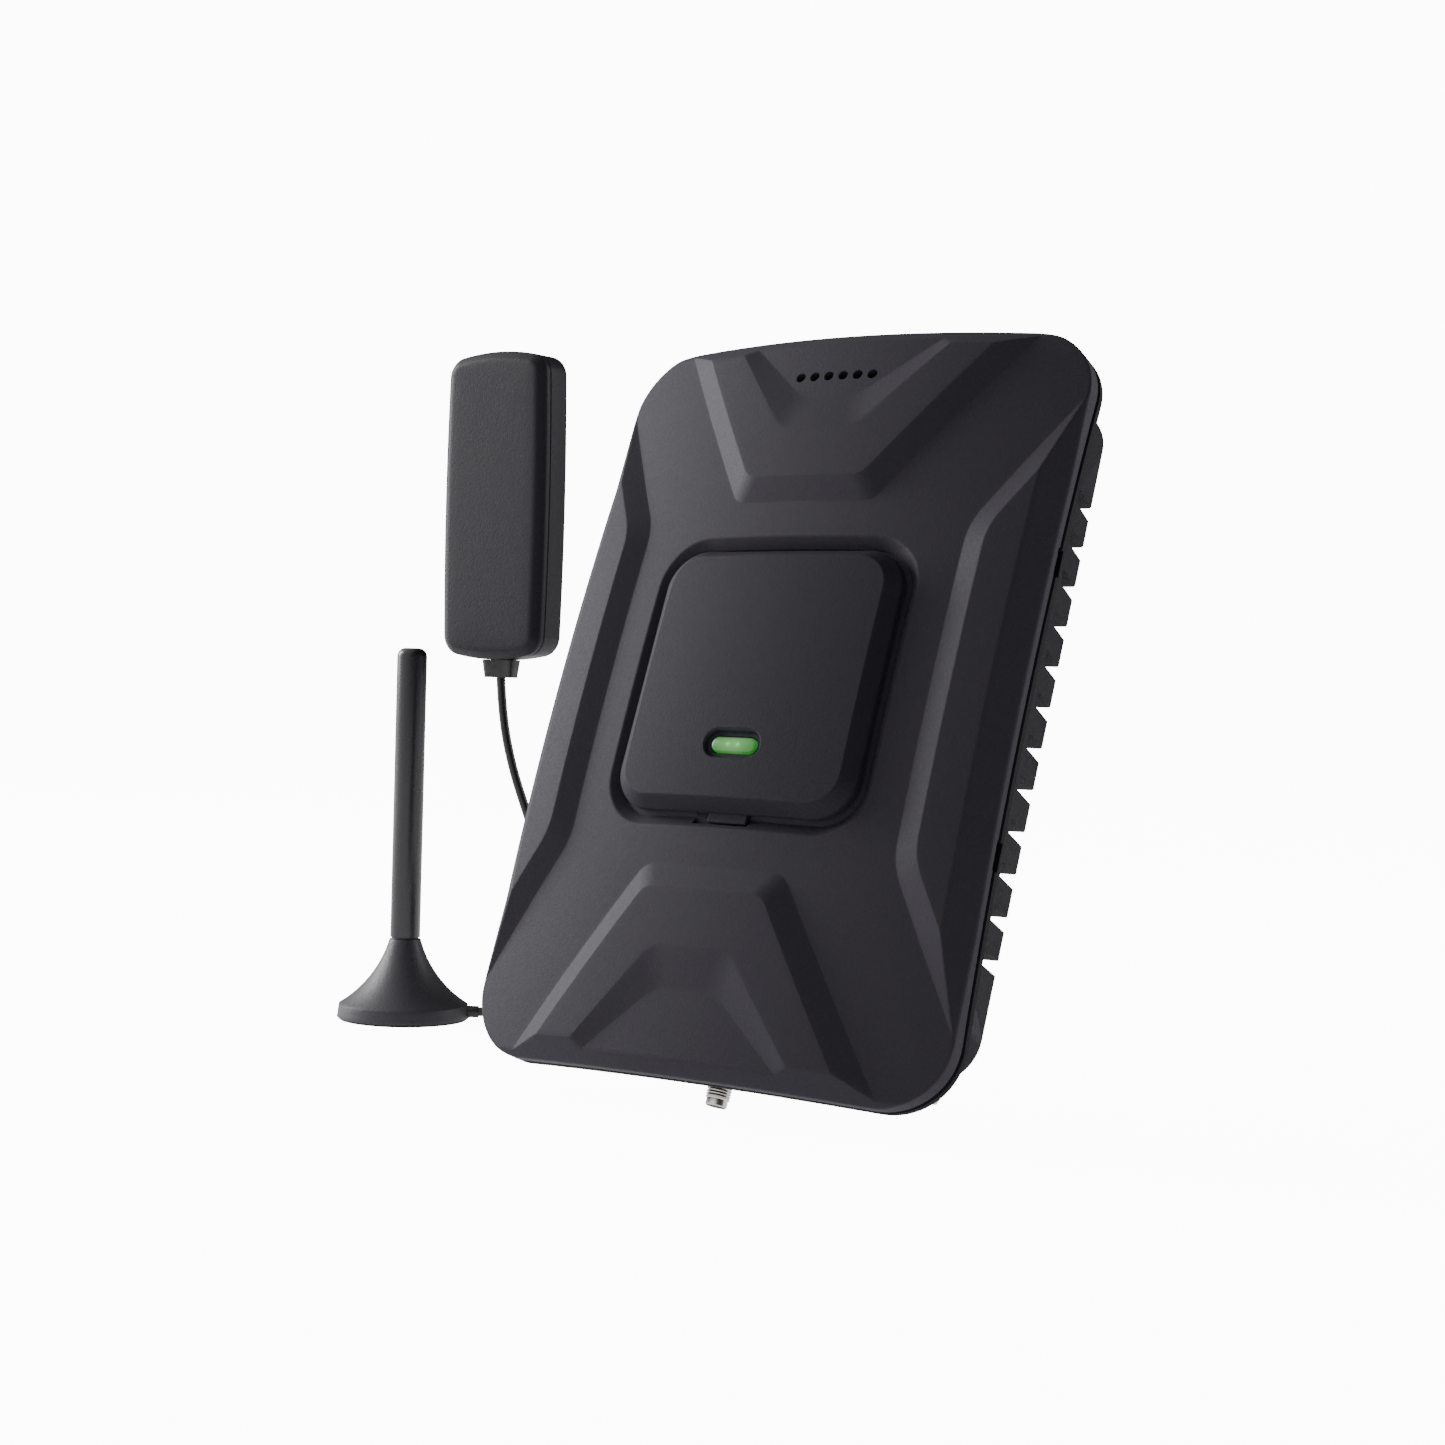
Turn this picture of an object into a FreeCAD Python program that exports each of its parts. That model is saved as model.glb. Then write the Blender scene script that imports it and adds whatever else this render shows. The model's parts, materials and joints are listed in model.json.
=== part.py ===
"""Cellular signal booster with its inside panel antenna and outside magnet-mount antenna.

Millimetres, +Z up, standing on Z = 0. The booster leans back by the tilt angle; its own
axes are x to the right, y up the long side and z out of its domed front, measured from the
middle of the front rim. The inside antenna is a flat box with an adhesive back, the outside
antenna is a mast on a magnet base, and each one has a coaxial lead with a screw plug.
"""
import FreeCAD, Part
import math
import os
import Sketcher

V = FreeCAD.Vector

# ---------------------------------------------------------------- driving dimensions
DIMENSIONS = [
    # booster, placed by the middle of its front rim; heights that clear all of its domed layers
    ("below", -14), ("above", 20), ("tilt", 21.456), ("booster_x", 52.8), ("booster_y", -12),
    ("booster_z", 103), ("cover_width", 140), ("cover_length", 203.2), ("cover_corner", 18),
    ("cover_wall", 2.2),
    # domed layers: the height of each dome's crown, and the two radii of every dome
    ("dome_across", 300), ("dome_along", 850), ("field_crown", 11.1), ("plateau_crown", 14),
    ("recess_crown", 12.4), ("badge_crown", 14.5), ("moat_crown", 9.4), ("badge_inner_crown", 12.4),
    ("cavity_crown", 7.6), ("seal_crown", 6.5), ("flange_crown", 5.5), ("flange_back_crown", 3.75),
    # bevels along the rim
    ("bevel_reach", 800), ("end_bevel", 39.9), ("end_rim", 3.9), ("side_bevel", 46.7),
    ("side_rim", 0.9), ("bevel_arc", 1400),
    # corners of the raised and sunk blocks: (x, y, z) of the near and far end of each edge line
    ("end_foot_near_x", 20.6), ("end_foot_near_y", 50), ("end_foot_near_z", 9.3),
    ("end_foot_far_x", 56.4), ("end_foot_far_y", 104), ("end_foot_far_z", -0.3),
    ("end_brow_near_x", 16.5), ("end_brow_near_y", 56.4), ("end_brow_near_z", 11.9),
    ("end_brow_far_x", 48.7), ("end_brow_far_y", 104), ("end_brow_far_z", 4.4),
    ("sunk_foot_near_x", 8.6), ("sunk_foot_near_y", 81), ("sunk_foot_near_z", 8.9),
    ("sunk_foot_far_x", 35.4), ("sunk_foot_far_y", 104), ("sunk_foot_far_z", 4.3),
    ("sunk_brow_near_x", 11.5), ("sunk_brow_near_y", 71), ("sunk_brow_near_z", 11.0),
    ("sunk_brow_far_x", 38.5), ("sunk_brow_far_y", 104), ("sunk_brow_far_z", 6.1),
    ("side_foot_near_x", 44.5), ("side_foot_near_y", 48.2), ("side_foot_near_z", 6.6),
    ("side_foot_far_x", 89), ("side_foot_far_y", 73), ("side_foot_far_z", -2.2),
    ("side_brow_near_x", 42.7), ("side_brow_near_y", 54.3), ("side_brow_near_z", 8.4),
    ("side_brow_far_x", 75.7), ("side_brow_far_y", 73), ("side_brow_far_z", 2.9),
    # badge panel, its moat, latch slot and lamp window
    ("moat_width", 76.8), ("moat_length", 78.8), ("moat_corner", 13.5), ("badge_width", 64.4),
    ("badge_length", 66.2), ("badge_corner", 8.5), ("badge_shoulder", 12.4), ("skirt_width", 70.8),
    ("skirt_length", 71.8), ("skirt_corner", 11), ("skirt_top", 9.5), ("badge_wall", 3),
    ("locator_radius", 1.5), ("locator_clearance", 0.05), ("locator_x", 24), ("locator_y", 26),
    ("locator_foot", 6.6), ("locator_top", 12.8), ("slot_x", -1.5), ("slot_y", -37.1),
    ("slot_width", 16.4), ("slot_height", 3.4), ("slot_floor", 7.5), ("tab_x", 0.5), ("tab_y", -36.9),
    ("tab_width", 11.6), ("tab_height", 2.8), ("tab_bottom", 7.9), ("tab_top", 9.1), ("lamp_y", -18.9),
    ("window_width", 16.4), ("window_height", 7.2), ("window_floor", 13.3), ("pipe_width", 13.5),
    ("pipe_height", 4.1), ("pipe_gap", 0.3), ("pipe_top", 13.2), ("pipe_foot", -0.8),
    ("pipe_collar_width", 17.5), ("pipe_collar_height", 8), ("pipe_collar_top", 7.1),
    ("pipe_collar_bottom", 5.9), ("pipe_fit", 0.1),
    # vent row and side slots
    ("vent_count", 6), ("vent_radius", 1.4), ("vent_pitch", 4.4), ("vent_y", 87.5), ("notch_y", 38),
    ("notch_length", 7.2), ("notch_top", -1.7), ("notch_bottom", -4.6), ("notch_depth", 1.6),
    # cover screws, driven from behind
    ("screw_x", 38), ("screw_y", 95), ("screw_radius", 1.25), ("screw_hole", 1.6), ("screw_head", 2.75),
    ("screw_seat", -4.1), ("screw_head_height", 1.7), ("screw_length", 6.4), ("boss_radius", 4),
    ("screw_spot", 3.3),
    # seal between cover and chassis
    ("seal_inset", 0.8), ("seal_width", 1.9),
    # die-cast chassis with cooling fins
    ("tub_width", 136), ("tub_length", 180), ("tub_corner", 12), ("tub_draft", 2), ("tub_back", -25),
    ("tub_edge", 3), ("tub_shoulder", -6), ("fin_root", -11.5), ("channel_count", 12),
    ("fin_pitch", 10.95), ("fin_gap", 3.9), ("fin_flare", 1.4), ("fin_flare_depth", 2.2),
    ("pocket_width", 126), ("pocket_length", 172), ("pocket_corner", 6), ("pocket_floor", -8.5),
    ("bay_width", 120), ("bay_length", 19), ("bay_middle", 76.5), ("bay_floor", -21), ("post_x", 56),
    ("post_y", 56), ("post_radius", 3.5), ("pedestal_size", 46), ("pedestal_top", -6.9),
    ("pedestal_y", 28),
    # circuit board and what it carries
    ("board_width", 122), ("board_length", 168), ("board_corner", 4), ("board_bottom", -4.4),
    ("board_thickness", 1.6), ("board_hole", 1.6), ("board_screw", 1.25), ("board_screw_head", 2.4),
    ("board_screw_head_height", 1.4), ("board_screw_length", 4.5), ("shield_x", 28), ("shield_y", 38),
    ("lower_shield_y", -52), ("shield_width", 44), ("shield_length", 38), ("shield_height", 3.2),
    ("shield_wall", 0.3), ("chip_size", 9), ("chip_height", 1), ("chip_spread", 13), ("lamp_size", 3),
    ("lamp_height", 1.4),
    # screw ports for the two leads, and the power socket
    ("outside_port_x", 3), ("inside_port_x", -6), ("port_z", -12), ("wall_inside", 86),
    ("barrel_radius", 3.175), ("barrel_length", 18.7), ("shank_radius", 2.75), ("shank_length", 6.7),
    ("barrel_bore", 2.3), ("barrel_flange", 4.6), ("barrel_flange_thickness", 2.5), ("barrel_tail", 8),
    ("barrel_tail_radius", 3.0), ("port_hole", 3.2), ("wall_thickness", 4), ("washer_thickness", 0.6),
    ("washer_radius", 5.2), ("nut_flats", 8), ("port_nut_length", 2), ("contact_radius", 0.65),
    ("contact_socket", 0.47), ("contact_depth", 2.6), ("insulator_setback", 1.7), ("contact_tail", 2),
    ("power_x", -35), ("power_z", -13.5), ("power_size", 10), ("power_depth", 12), ("power_nose", 4),
    ("power_bore", 2.9), ("power_pin", 1.0), ("power_bore_depth", 9), ("power_pin_length", 8),
    ("power_hole", 4.05),
    # inside antenna
    ("panel_x", -85.7), ("panel_back", 51.5), ("panel_z", 157.7), ("panel_width", 39.5),
    ("panel_height", 94.4), ("panel_corner", 7.5), ("front_shell_depth", 4.2),
    ("back_shell_depth", 8.7), ("panel_edge", 2.6), ("back_edge", 1.2), ("panel_wall", 1.8),
    ("sticker_thickness", 1), ("sticker_inset", 3), ("antenna_board_thickness", 1.6),
    ("antenna_board_inset", 3.2), ("relief_x", -85.3), ("relief_y", 45.5), ("relief_width", 12.6),
    ("relief_depth", 6), ("relief_height", 5.5), ("relief_taper", 0.8),
    # outside antenna
    ("mast_x", -102.6), ("mast_y", 23.9), ("mast_foot", 25), ("mast_top", 113.3), ("mast_radius", 4.55),
    ("mast_round", 2.6), ("mast_bore", 3.3), ("mast_roof", 3), ("ferrule_length", 9),
    ("stud_radius", 1.5), ("stud_clearance", 0.05), ("stud_foot", 12), ("stud_top", 31.5),
    ("mast_gap", 0.05), ("radiator_radius", 1.3), ("radiator_length", 66), ("base_radius", 20.1),
    ("rim_radius", 19.6), ("rim_height", 4.6), ("flare_top", 24.4), ("flare_radius", 4.75),
    ("flare_arc", 34), ("neck_radius", 4.1), ("foot_thickness", 0.6), ("foot_radius", 19.4),
    ("plate_radius", 16), ("plate_thickness", 1), ("magnet_radius", 13), ("magnet_thickness", 4),
    ("exit_angle", 34), ("exit_height", 2.6), ("boot_radius", 1.8), ("boot_inner", 17),
    ("boot_outer", 23),
    # leads, their coils, ties and plugs
    ("lead_radius", 1.4), ("coil_lift", 1), ("outside_coil_x", -31.2), ("outside_coil_y", 38),
    ("outside_coil_radius", 18), ("outside_coil_width", 16.9), ("outside_coil_height", 12.6),
    ("inside_coil_x", 21.8), ("inside_coil_y", 36), ("inside_coil_radius", 16.5),
    ("inside_coil_width", 12.7), ("inside_coil_height", 7.8), ("coil_chamfer", 2), ("tie_width", 6),
    ("tie_thickness", 0.8), ("tie_gap", 0.6), ("tie_rise", 0.15), ("plug_axis", 4.9),
    ("outside_plug_x", 18.8), ("outside_plug_y", -3), ("inside_plug_x", 71.8), ("inside_plug_y", 4.5),
    ("crimp_radius", 2.5), ("crimp_length", 9), ("collar_radius", 3.6), ("collar_end", 11.5),
    ("plug_neck", 2.6), ("plug_ring", 3.05), ("ring_start", 14.3), ("ring_end", 15.5),
    ("plug_front", 20), ("plug_floor", 14), ("plug_bore", 2.1), ("pin_radius", 0.46),
    ("pin_front", 20.5), ("coupling_start", 12), ("coupling_end", 22), ("coupling_step", 14),
    ("coupling_neck", 2.65), ("coupling_bore", 3.2),
]

doc = FreeCAD.newDocument("CellularBooster")
sheet = doc.addObject("Spreadsheet::Sheet", "Dim")
for row, (alias, number) in enumerate(DIMENSIONS, start=1):
    sheet.set(f"A{row}", alias)
    sheet.set(f"B{row}", str(number))
    sheet.setAlias(f"B{row}", alias)
doc.recompute()

nodes = []


# ---------------------------------------------------------------- helpers
def value(formula):
    """The number that a formula on the sheet gives."""
    result = sheet.evalExpression(str(formula))
    return float(getattr(result, "Value", result))


def d(alias):
    """The formula that names one cell of the sheet."""
    return f"Dim.{alias}"


def row_of(count):
    """The places of a centred row of pieces, in steps of its pitch."""
    total = int(value(d(count)))
    return [n - (total - 1) / 2 for n in range(total)]


def new(kind, name, **sizes):
    """A document object with its sizes bound to formulas."""
    item = doc.addObject(kind, name)
    for size, formula in sizes.items():
        item.setExpression(size, str(formula))
    return item


def move(item, x="0", y="0", z="0", axis="0; 0; 1", angle="0"):
    """Bind an item's placement: a turn about an axis through its origin, then a shift."""
    item.setExpression("Placement",
                       f"placement(vector({x}; {y}; {z}); rotation(vector({axis}); {angle}))")
    return item


def lean(item, x="0", y="0", z="0", turn="0"):
    """Place an item in the booster's own axes, after a turn about their x axis."""
    return move(item, f"Dim.booster_x + ({x})",
                f"Dim.booster_y + ({y}) * sin(Dim.tilt) - ({z}) * cos(Dim.tilt)",
                f"Dim.booster_z + ({y}) * cos(Dim.tilt) + ({z}) * sin(Dim.tilt)",
                "1; 0; 0", f"90 - Dim.tilt + ({turn})")


def keep(item, label):
    """Name an item as a finished sub-part."""
    item.Label = label
    nodes.append(item)
    return item


def block(name, width, length, bottom, top, x="0", y="0"):
    """A box centred on x and y between two heights."""
    item = new("Part::Box", name, Length=width, Width=length, Height=f"({top}) - ({bottom})")
    return move(item, f"({x}) - ({width}) / 2", f"({y}) - ({length}) / 2", bottom)


def rod(name, radius, bottom, top, x="0", y="0"):
    """An upright cylinder between two heights."""
    item = new("Part::Cylinder", name, Radius=radius, Height=f"({top}) - ({bottom})")
    return move(item, x, y, bottom)


def fused(name, *shapes):
    item = doc.addObject("Part::MultiFuse", name)
    item.Shapes = list(shapes)
    return item


def shared(name, *shapes):
    item = doc.addObject("Part::MultiCommon", name)
    item.Shapes = list(shapes)
    return item


def cut(name, base, *tools):
    item = doc.addObject("Part::Cut", name)
    item.Base = base
    item.Tool = tools[0] if len(tools) == 1 else fused(name + "Tools", *tools)
    return item


def mirrored(name, source, normal):
    item = doc.addObject("Part::Mirroring", name)
    item.Source = source
    item.Normal = normal
    return item


def bound(sketch, name, constraint, formula):
    """Add a dimension to a sketch and drive it from the sheet."""
    index = sketch.addConstraint(constraint)
    sketch.renameConstraint(index, name)
    sketch.setExpression(f"Constraints.{name}", str(formula))


def rounded(sketch, width, length, radius):
    """Draw a rounded rectangle about the sketch's origin."""
    hx, hy, r = value(width) / 2, value(length) / 2, value(radius)
    quarter = math.pi / 2
    corners = [(hx - r, r - hy, 3), (hx - r, hy - r, 0), (r - hx, hy - r, 1), (r - hx, r - hy, 2)]
    sides = [((r - hx, -hy), (hx - r, -hy)), ((hx, r - hy), (hx, hy - r)),
             ((hx - r, hy), (r - hx, hy)), ((-hx, hy - r), (-hx, r - hy))]
    for (start, end), (cx, cy, turn) in zip(sides, corners):
        sketch.addGeometry(Part.LineSegment(V(*start, 0), V(*end, 0)), False)
        circle = Part.Circle(V(cx, cy, 0), V(0, 0, 1), r)
        sketch.addGeometry(Part.ArcOfCircle(circle, turn * quarter, (turn + 1) * quarter), False)
    for edge in range(8):
        sketch.addConstraint(Sketcher.Constraint("Tangent", edge, 2, (edge + 1) % 8, 1))
    for edge, direction in ((0, "Horizontal"), (4, "Horizontal"), (2, "Vertical"), (6, "Vertical")):
        sketch.addConstraint(Sketcher.Constraint(direction, edge))
    for arc in (3, 5, 7):
        sketch.addConstraint(Sketcher.Constraint("Equal", 1, arc))
    bound(sketch, "corner", Sketcher.Constraint("Radius", 1, r), radius)
    bound(sketch, "right", Sketcher.Constraint("DistanceX", -1, 1, 2, 1, hx), f"({width}) / 2")
    bound(sketch, "left", Sketcher.Constraint("DistanceX", 6, 1, -1, 1, hx), f"({width}) / 2")
    bound(sketch, "upper", Sketcher.Constraint("DistanceY", -1, 1, 4, 1, hy), f"({length}) / 2")
    bound(sketch, "lower", Sketcher.Constraint("DistanceY", 0, 1, -1, 1, hy), f"({length}) / 2")
    return sketch


def slab(name, width, length, radius, bottom, top):
    """An upright prism on a rounded rectangle."""
    sketch = rounded(doc.addObject("Sketcher::SketchObject", name + "Outline"), width, length, radius)
    item = new("Part::Extrusion", name, LengthFwd=f"({top}) - ({bottom})")
    item.Base = sketch
    item.DirMode = "Custom"
    item.Dir = V(0, 0, 1)
    item.Solid = True
    return move(item, z=bottom)


def outline_at(name, width, length, radius, level):
    """A rounded rectangle at one height, as a section of a loft."""
    sketch = rounded(doc.addObject("Sketcher::SketchObject", name), width, length, radius)
    return move(sketch, z=level)


def loft(name, *sections):
    item = doc.addObject("Part::Loft", name)
    item.Sections = list(sections)
    item.Solid = True
    item.Ruled = True
    return item


def polygon(sketch, corners):
    """Draw a closed outline: (x, y), or (x, y, radius) where an arc leads on from that corner.

    A positive radius bows the arc to the left of its direction of travel.
    """
    points = [V(value(corner[0]), value(corner[1]), 0) for corner in corners]
    count = len(corners)
    ends = []
    for index, corner in enumerate(corners):
        start, end = points[index], points[(index + 1) % count]
        if len(corner) == 2:
            sketch.addGeometry(Part.LineSegment(start, end), False)
            ends.append((1, 2))
            continue
        radius = value(corner[2])
        chord = end - start
        sagitta = abs(radius) - math.sqrt(radius ** 2 - (chord.Length / 2) ** 2)
        side = V(-chord.y, chord.x, 0).normalize() * math.copysign(sagitta, radius)
        first, last = (end, start) if radius > 0 else (start, end)
        geometry = sketch.addGeometry(Part.Arc(first, (start + end) / 2 + side, last), False)
        placed = sketch.Geometry[geometry]
        forward = (placed.StartPoint - start).Length < (placed.EndPoint - start).Length
        ends.append((1, 2) if forward else (2, 1))
    for index in range(count):
        after = (index + 1) % count
        sketch.addConstraint(Sketcher.Constraint("Coincident", index, ends[index][1], after, ends[after][0]))
    for index, corner in enumerate(corners):
        for kind, formula, axis in (("DistanceX", corner[0], -2), ("DistanceY", corner[1], -1)):
            size = value(formula)
            if abs(size) < 1e-9:
                sketch.addConstraint(Sketcher.Constraint("PointOnObject", index, ends[index][0], axis))
                continue
            bound(sketch, f"{kind}{index}",
                  Sketcher.Constraint(kind, -1, 1, index, ends[index][0], size), formula)
        if len(corner) == 3:
            bound(sketch, f"bow{index}", Sketcher.Constraint("Radius", index, abs(value(corner[2]))),
                  f"abs({corner[2]})")
    return sketch


def sketch_in(body, name, plane):
    """A sketch on one of a body's own origin planes."""
    sketch = body.newObject("Sketcher::SketchObject", name)
    flat = next(item for item in body.Origin.OriginFeatures if item.Role == plane)
    sketch.AttachmentSupport = (flat, [""])
    sketch.MapMode = "FlatFace"
    return sketch


def turned(name, corners):
    """A body revolved about its own Z axis from an outline of (radius, height) corners."""
    body = doc.addObject("PartDesign::Body", name)
    sketch = polygon(sketch_in(body, name + "Profile", "XZ_Plane"), corners)
    revolution = body.newObject("PartDesign::Revolution", name + "Revolution")
    revolution.Profile = sketch
    revolution.ReferenceAxis = (sketch, ["V_Axis"])
    revolution.Angle = 360
    return body


def padded(name, width, length, radius, height):
    """A body with a rounded rectangle padded up from its XY plane."""
    body = doc.addObject("PartDesign::Body", name)
    sketch = rounded(sketch_in(body, name + "Outline", "XY_Plane"), width, length, radius)
    pad = body.newObject("PartDesign::Pad", name + "Pad")
    pad.Profile = sketch
    pad.setExpression("Length", height)
    doc.recompute()
    return body, pad


def pocketed(body, name, depth, draw):
    """Cut a pocket up into a body from its XY plane."""
    sketch = sketch_in(body, name + "Sketch", "XY_Plane")
    draw(sketch)
    pocket = body.newObject("PartDesign::Pocket", name)
    pocket.Profile = sketch
    pocket.Reversed = True
    pocket.setExpression("Length", depth)
    doc.recompute()
    return pocket


def face_names(shape, level):
    """The names of the flat faces that lie at one height."""
    found = []
    for index, face in enumerate(shape.Faces, start=1):
        box = face.BoundBox
        if abs(box.ZMin - level) < 1e-6 and abs(box.ZMax - level) < 1e-6:
            found.append(f"Face{index}")
    return found


def softened(body, base, name, level, radius):
    """Round every edge of the flat face at one level of a body."""
    fillet = body.newObject("PartDesign::Fillet", name)
    fillet.Base = (base, face_names(base.Shape, level))
    fillet.setExpression("Radius", radius)
    doc.recompute()
    return fillet


def dome(name, crown):
    """Everything under a shallow dome, as a fat ring lying across the booster's x axis."""
    item = new("Part::Torus", name, Radius1="Dim.dome_along - Dim.dome_across", Radius2=d("dome_across"))
    return move(item, z=f"({crown}) - Dim.dome_along", axis="0; 1; 0", angle="90")


def capsule(name, width, height, bottom, top, y):
    """An upright prism with half-round ends, long in x."""
    return move(slab(name, width, height, f"({height}) / 2 - 0.01", bottom, top), y=y, z=bottom)


def symmetric_quad(edge):
    """A planar four-sided wire from the near and far ends of an edge line, mirrored in x."""
    (x1, y1, z1), (x2, y2, z2) = [[value(d(f"{edge}_{end}_{axis}")) for axis in "xyz"]
                                  for end in ("near", "far")]
    return Part.makePolygon([V(-x1, y1, z1), V(x1, y1, z1), V(x2, y2, z2), V(-x2, y2, z2), V(-x1, y1, z1)])


def crest(name, prefix):
    """A block with sloping flanks: a ruled loft from its foot line to its brow line, carried
    straight up from the brow so that a dome can trim its top."""
    foot, brow = symmetric_quad(prefix + "_foot"), symmetric_quad(prefix + "_brow")
    flank = Part.makeLoft([foot, brow], True, True)
    upper = Part.Face(brow).extrude(V(0, 0, value(d("above"))))
    item = doc.addObject("Part::Feature", name)
    item.Shape = flank.fuse(upper)
    return item


def crosswise(name, radius, start, length, x, z, sign):
    """A cylinder along the booster's y axis, leading outwards at the upper or lower end."""
    item = new("Part::Cylinder", name, Radius=radius, Height=length)
    return move(item, x, f"{sign} * ({start})", z, "1; 0; 0", f"{-90 * sign}")


CORNERS = [(-1, -1), (1, -1), (1, 1), (-1, 1)]
# the end wall of each port: lower for the outside antenna, upper for the inside one
PORTS = {"outside": -1, "inside": 1}


# ---------------------------------------------------------------- front cover
def make_cover():
    plan = slab("CoverPlan", d("cover_width"), d("cover_length"), d("cover_corner"), d("below"), d("above"))
    field = dome("FieldDome", d("field_crown"))
    plateau = dome("PlateauDome", d("plateau_crown"))
    sunk = cut("SunkPanel", crest("SunkCrest", "sunk"), dome("RecessDome", d("recess_crown")))
    end_ridge = cut("EndRidge", shared("EndTrimmed", crest("EndCrest", "end"), plateau), sunk)
    side_crest = crest("SideCrest", "side")
    move(side_crest, axis="0; 0; 1", angle="-90")
    side_ridge = shared("SideRidge", side_crest, plateau)
    relief = fused("Relief", field, end_ridge, mirrored("LowerRidge", end_ridge, V(0, 1, 0)),
                   side_ridge, mirrored("LeftRidge", side_ridge, V(1, 0, 0)))
    end_radius = "Dim.dome_across / cos(Dim.end_bevel)"
    upper_bevel = new("Part::Cylinder", "UpperBevel", Radius=end_radius, Height=d("bevel_reach"))
    move(upper_bevel, "0",
         f"Dim.cover_length / 2 - {end_radius} * sin(Dim.end_bevel)"
         " + Dim.bevel_reach / 2 * cos(Dim.end_bevel)",
         f"Dim.end_rim - {end_radius} * cos(Dim.end_bevel) - Dim.bevel_reach / 2 * sin(Dim.end_bevel)",
         "1; 0; 0", "90 - Dim.end_bevel")
    side_radius = "Dim.bevel_arc / cos(Dim.side_bevel)"
    right_bevel = new("Part::Cylinder", "RightBevel", Radius=side_radius, Height=d("bevel_reach"))
    move(right_bevel,
         f"Dim.cover_width / 2 - {side_radius} * sin(Dim.side_bevel)"
         " + Dim.bevel_reach / 2 * cos(Dim.side_bevel)",
         "0", f"Dim.side_rim - {side_radius} * cos(Dim.side_bevel)"
         " - Dim.bevel_reach / 2 * sin(Dim.side_bevel)",
         "0; 1; 0", "Dim.side_bevel - 90")
    outer = shared("CoverOuter", plan, relief, upper_bevel, mirrored("LowerBevel", upper_bevel, V(0, 1, 0)),
                   right_bevel, mirrored("LeftBevel", right_bevel, V(1, 0, 0)))
    inner = slab("CavityPlan", "Dim.cover_width - 2 * Dim.cover_wall", "Dim.cover_length - 2 * Dim.cover_wall",
                 "Dim.cover_corner - Dim.cover_wall", d("below"), d("above"))
    bosses = [rod(f"Boss{n}", d("boss_radius"), d("below"), d("above"), f"{x} * Dim.screw_x",
                  f"{y} * Dim.screw_y")
              for n, (x, y) in enumerate(CORNERS, start=1)]
    cavity = cut("Cavity", shared("CavityTrimmed", inner, dome("CavityDome", d("cavity_crown"))), *bosses)
    moat = cut("Moat", slab("MoatPlan", d("moat_width"), d("moat_length"), d("moat_corner"), "0", d("above")),
               dome("MoatDome", d("moat_crown")))
    latch_slot = block("LatchSlot", d("slot_width"), d("slot_height"), d("slot_floor"), d("above"),
                       d("slot_x"), d("slot_y"))
    pipe_hole = capsule("CoverPipeHole", "Dim.pipe_width + 2 * Dim.pipe_fit",
                        "Dim.pipe_height + 2 * Dim.pipe_fit",
                        "0", d("above"), d("lamp_y"))
    shell = outer
    for name, tool in (("Underside", dome("SealFace", d("seal_crown"))), ("Hollow", cavity), ("Moated", moat)):
        shell = cut("Cover" + name, shell, tool)
    tools = [latch_slot, pipe_hole]
    for n, (x, y) in enumerate(CORNERS, start=1):
        tools.append(rod(f"LocatorHole{n}", "Dim.locator_radius + Dim.locator_clearance", "0", d("above"),
                         f"{x} * Dim.locator_x", f"{y} * Dim.locator_y"))
        tools.append(rod(f"ScrewThread{n}", d("screw_radius"), d("below"), "Dim.screw_seat + Dim.screw_length",
                         f"{x} * Dim.screw_x", f"{y} * Dim.screw_y"))
        tools.append(block(f"CoverNotch{n}", "2 * Dim.notch_depth", d("notch_length"), d("notch_bottom"),
                           d("notch_top"), f"{x} * Dim.cover_width / 2", f"{y} * Dim.notch_y"))
    for n, offset in enumerate(row_of("vent_count"), start=1):
        tools.append(rod(f"Vent{n}", d("vent_radius"), d("below"), d("above"),
                         f"{offset} * Dim.vent_pitch", d("vent_y")))
    keep(lean(cut("Cover", shell, *tools)), "front_cover")


def make_badge():
    skirt = slab("BadgeSkirt", d("skirt_width"), d("skirt_length"), d("skirt_corner"), "0", d("skirt_top"))
    slope = loft("BadgeSlope",
                 outline_at("SkirtSection", d("skirt_width"), d("skirt_length"), d("skirt_corner"),
                            d("skirt_top")),
                 outline_at("BrowSection", d("badge_width"), d("badge_length"), d("badge_corner"),
                            d("badge_shoulder")))
    top = slab("BadgeTop", d("badge_width"), d("badge_length"), d("badge_corner"), d("badge_shoulder"),
               d("above"))
    outer = shared("BadgeOuter", fused("BadgeStack", skirt, slope, top), dome("BadgeDome", d("badge_crown")))
    hollow = shared("BadgeHollow",
                    slab("HollowPlan", "Dim.badge_width - 2 * Dim.badge_wall",
                         "Dim.badge_length - 2 * Dim.badge_wall",
                         "Dim.badge_corner - Dim.badge_wall", "0", d("above")),
                    dome("HollowDome", d("badge_inner_crown")))
    window = capsule("LampWindow", d("window_width"), d("window_height"), d("window_floor"), d("above"),
                     d("lamp_y"))
    pipe_hole = capsule("BadgePipeHole", "Dim.pipe_width + 2 * Dim.pipe_gap",
                        "Dim.pipe_height + 2 * Dim.pipe_gap",
                        "0", d("above"), d("lamp_y"))
    shell = cut("BadgeShell", outer, dome("BadgeSeat", d("moat_crown")), hollow, window, pipe_hole)
    locators = [rod(f"Locator{n}", d("locator_radius"), d("locator_foot"), d("locator_top"),
                    f"{x} * Dim.locator_x", f"{y} * Dim.locator_y") for n, (x, y) in enumerate(CORNERS, start=1)]
    tab = block("LatchTab", d("tab_width"), d("tab_height"), d("tab_bottom"), d("tab_top"), d("tab_x"),
                d("tab_y"))
    keep(lean(fused("Badge", shell, tab, *locators)), "badge_panel")


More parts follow.
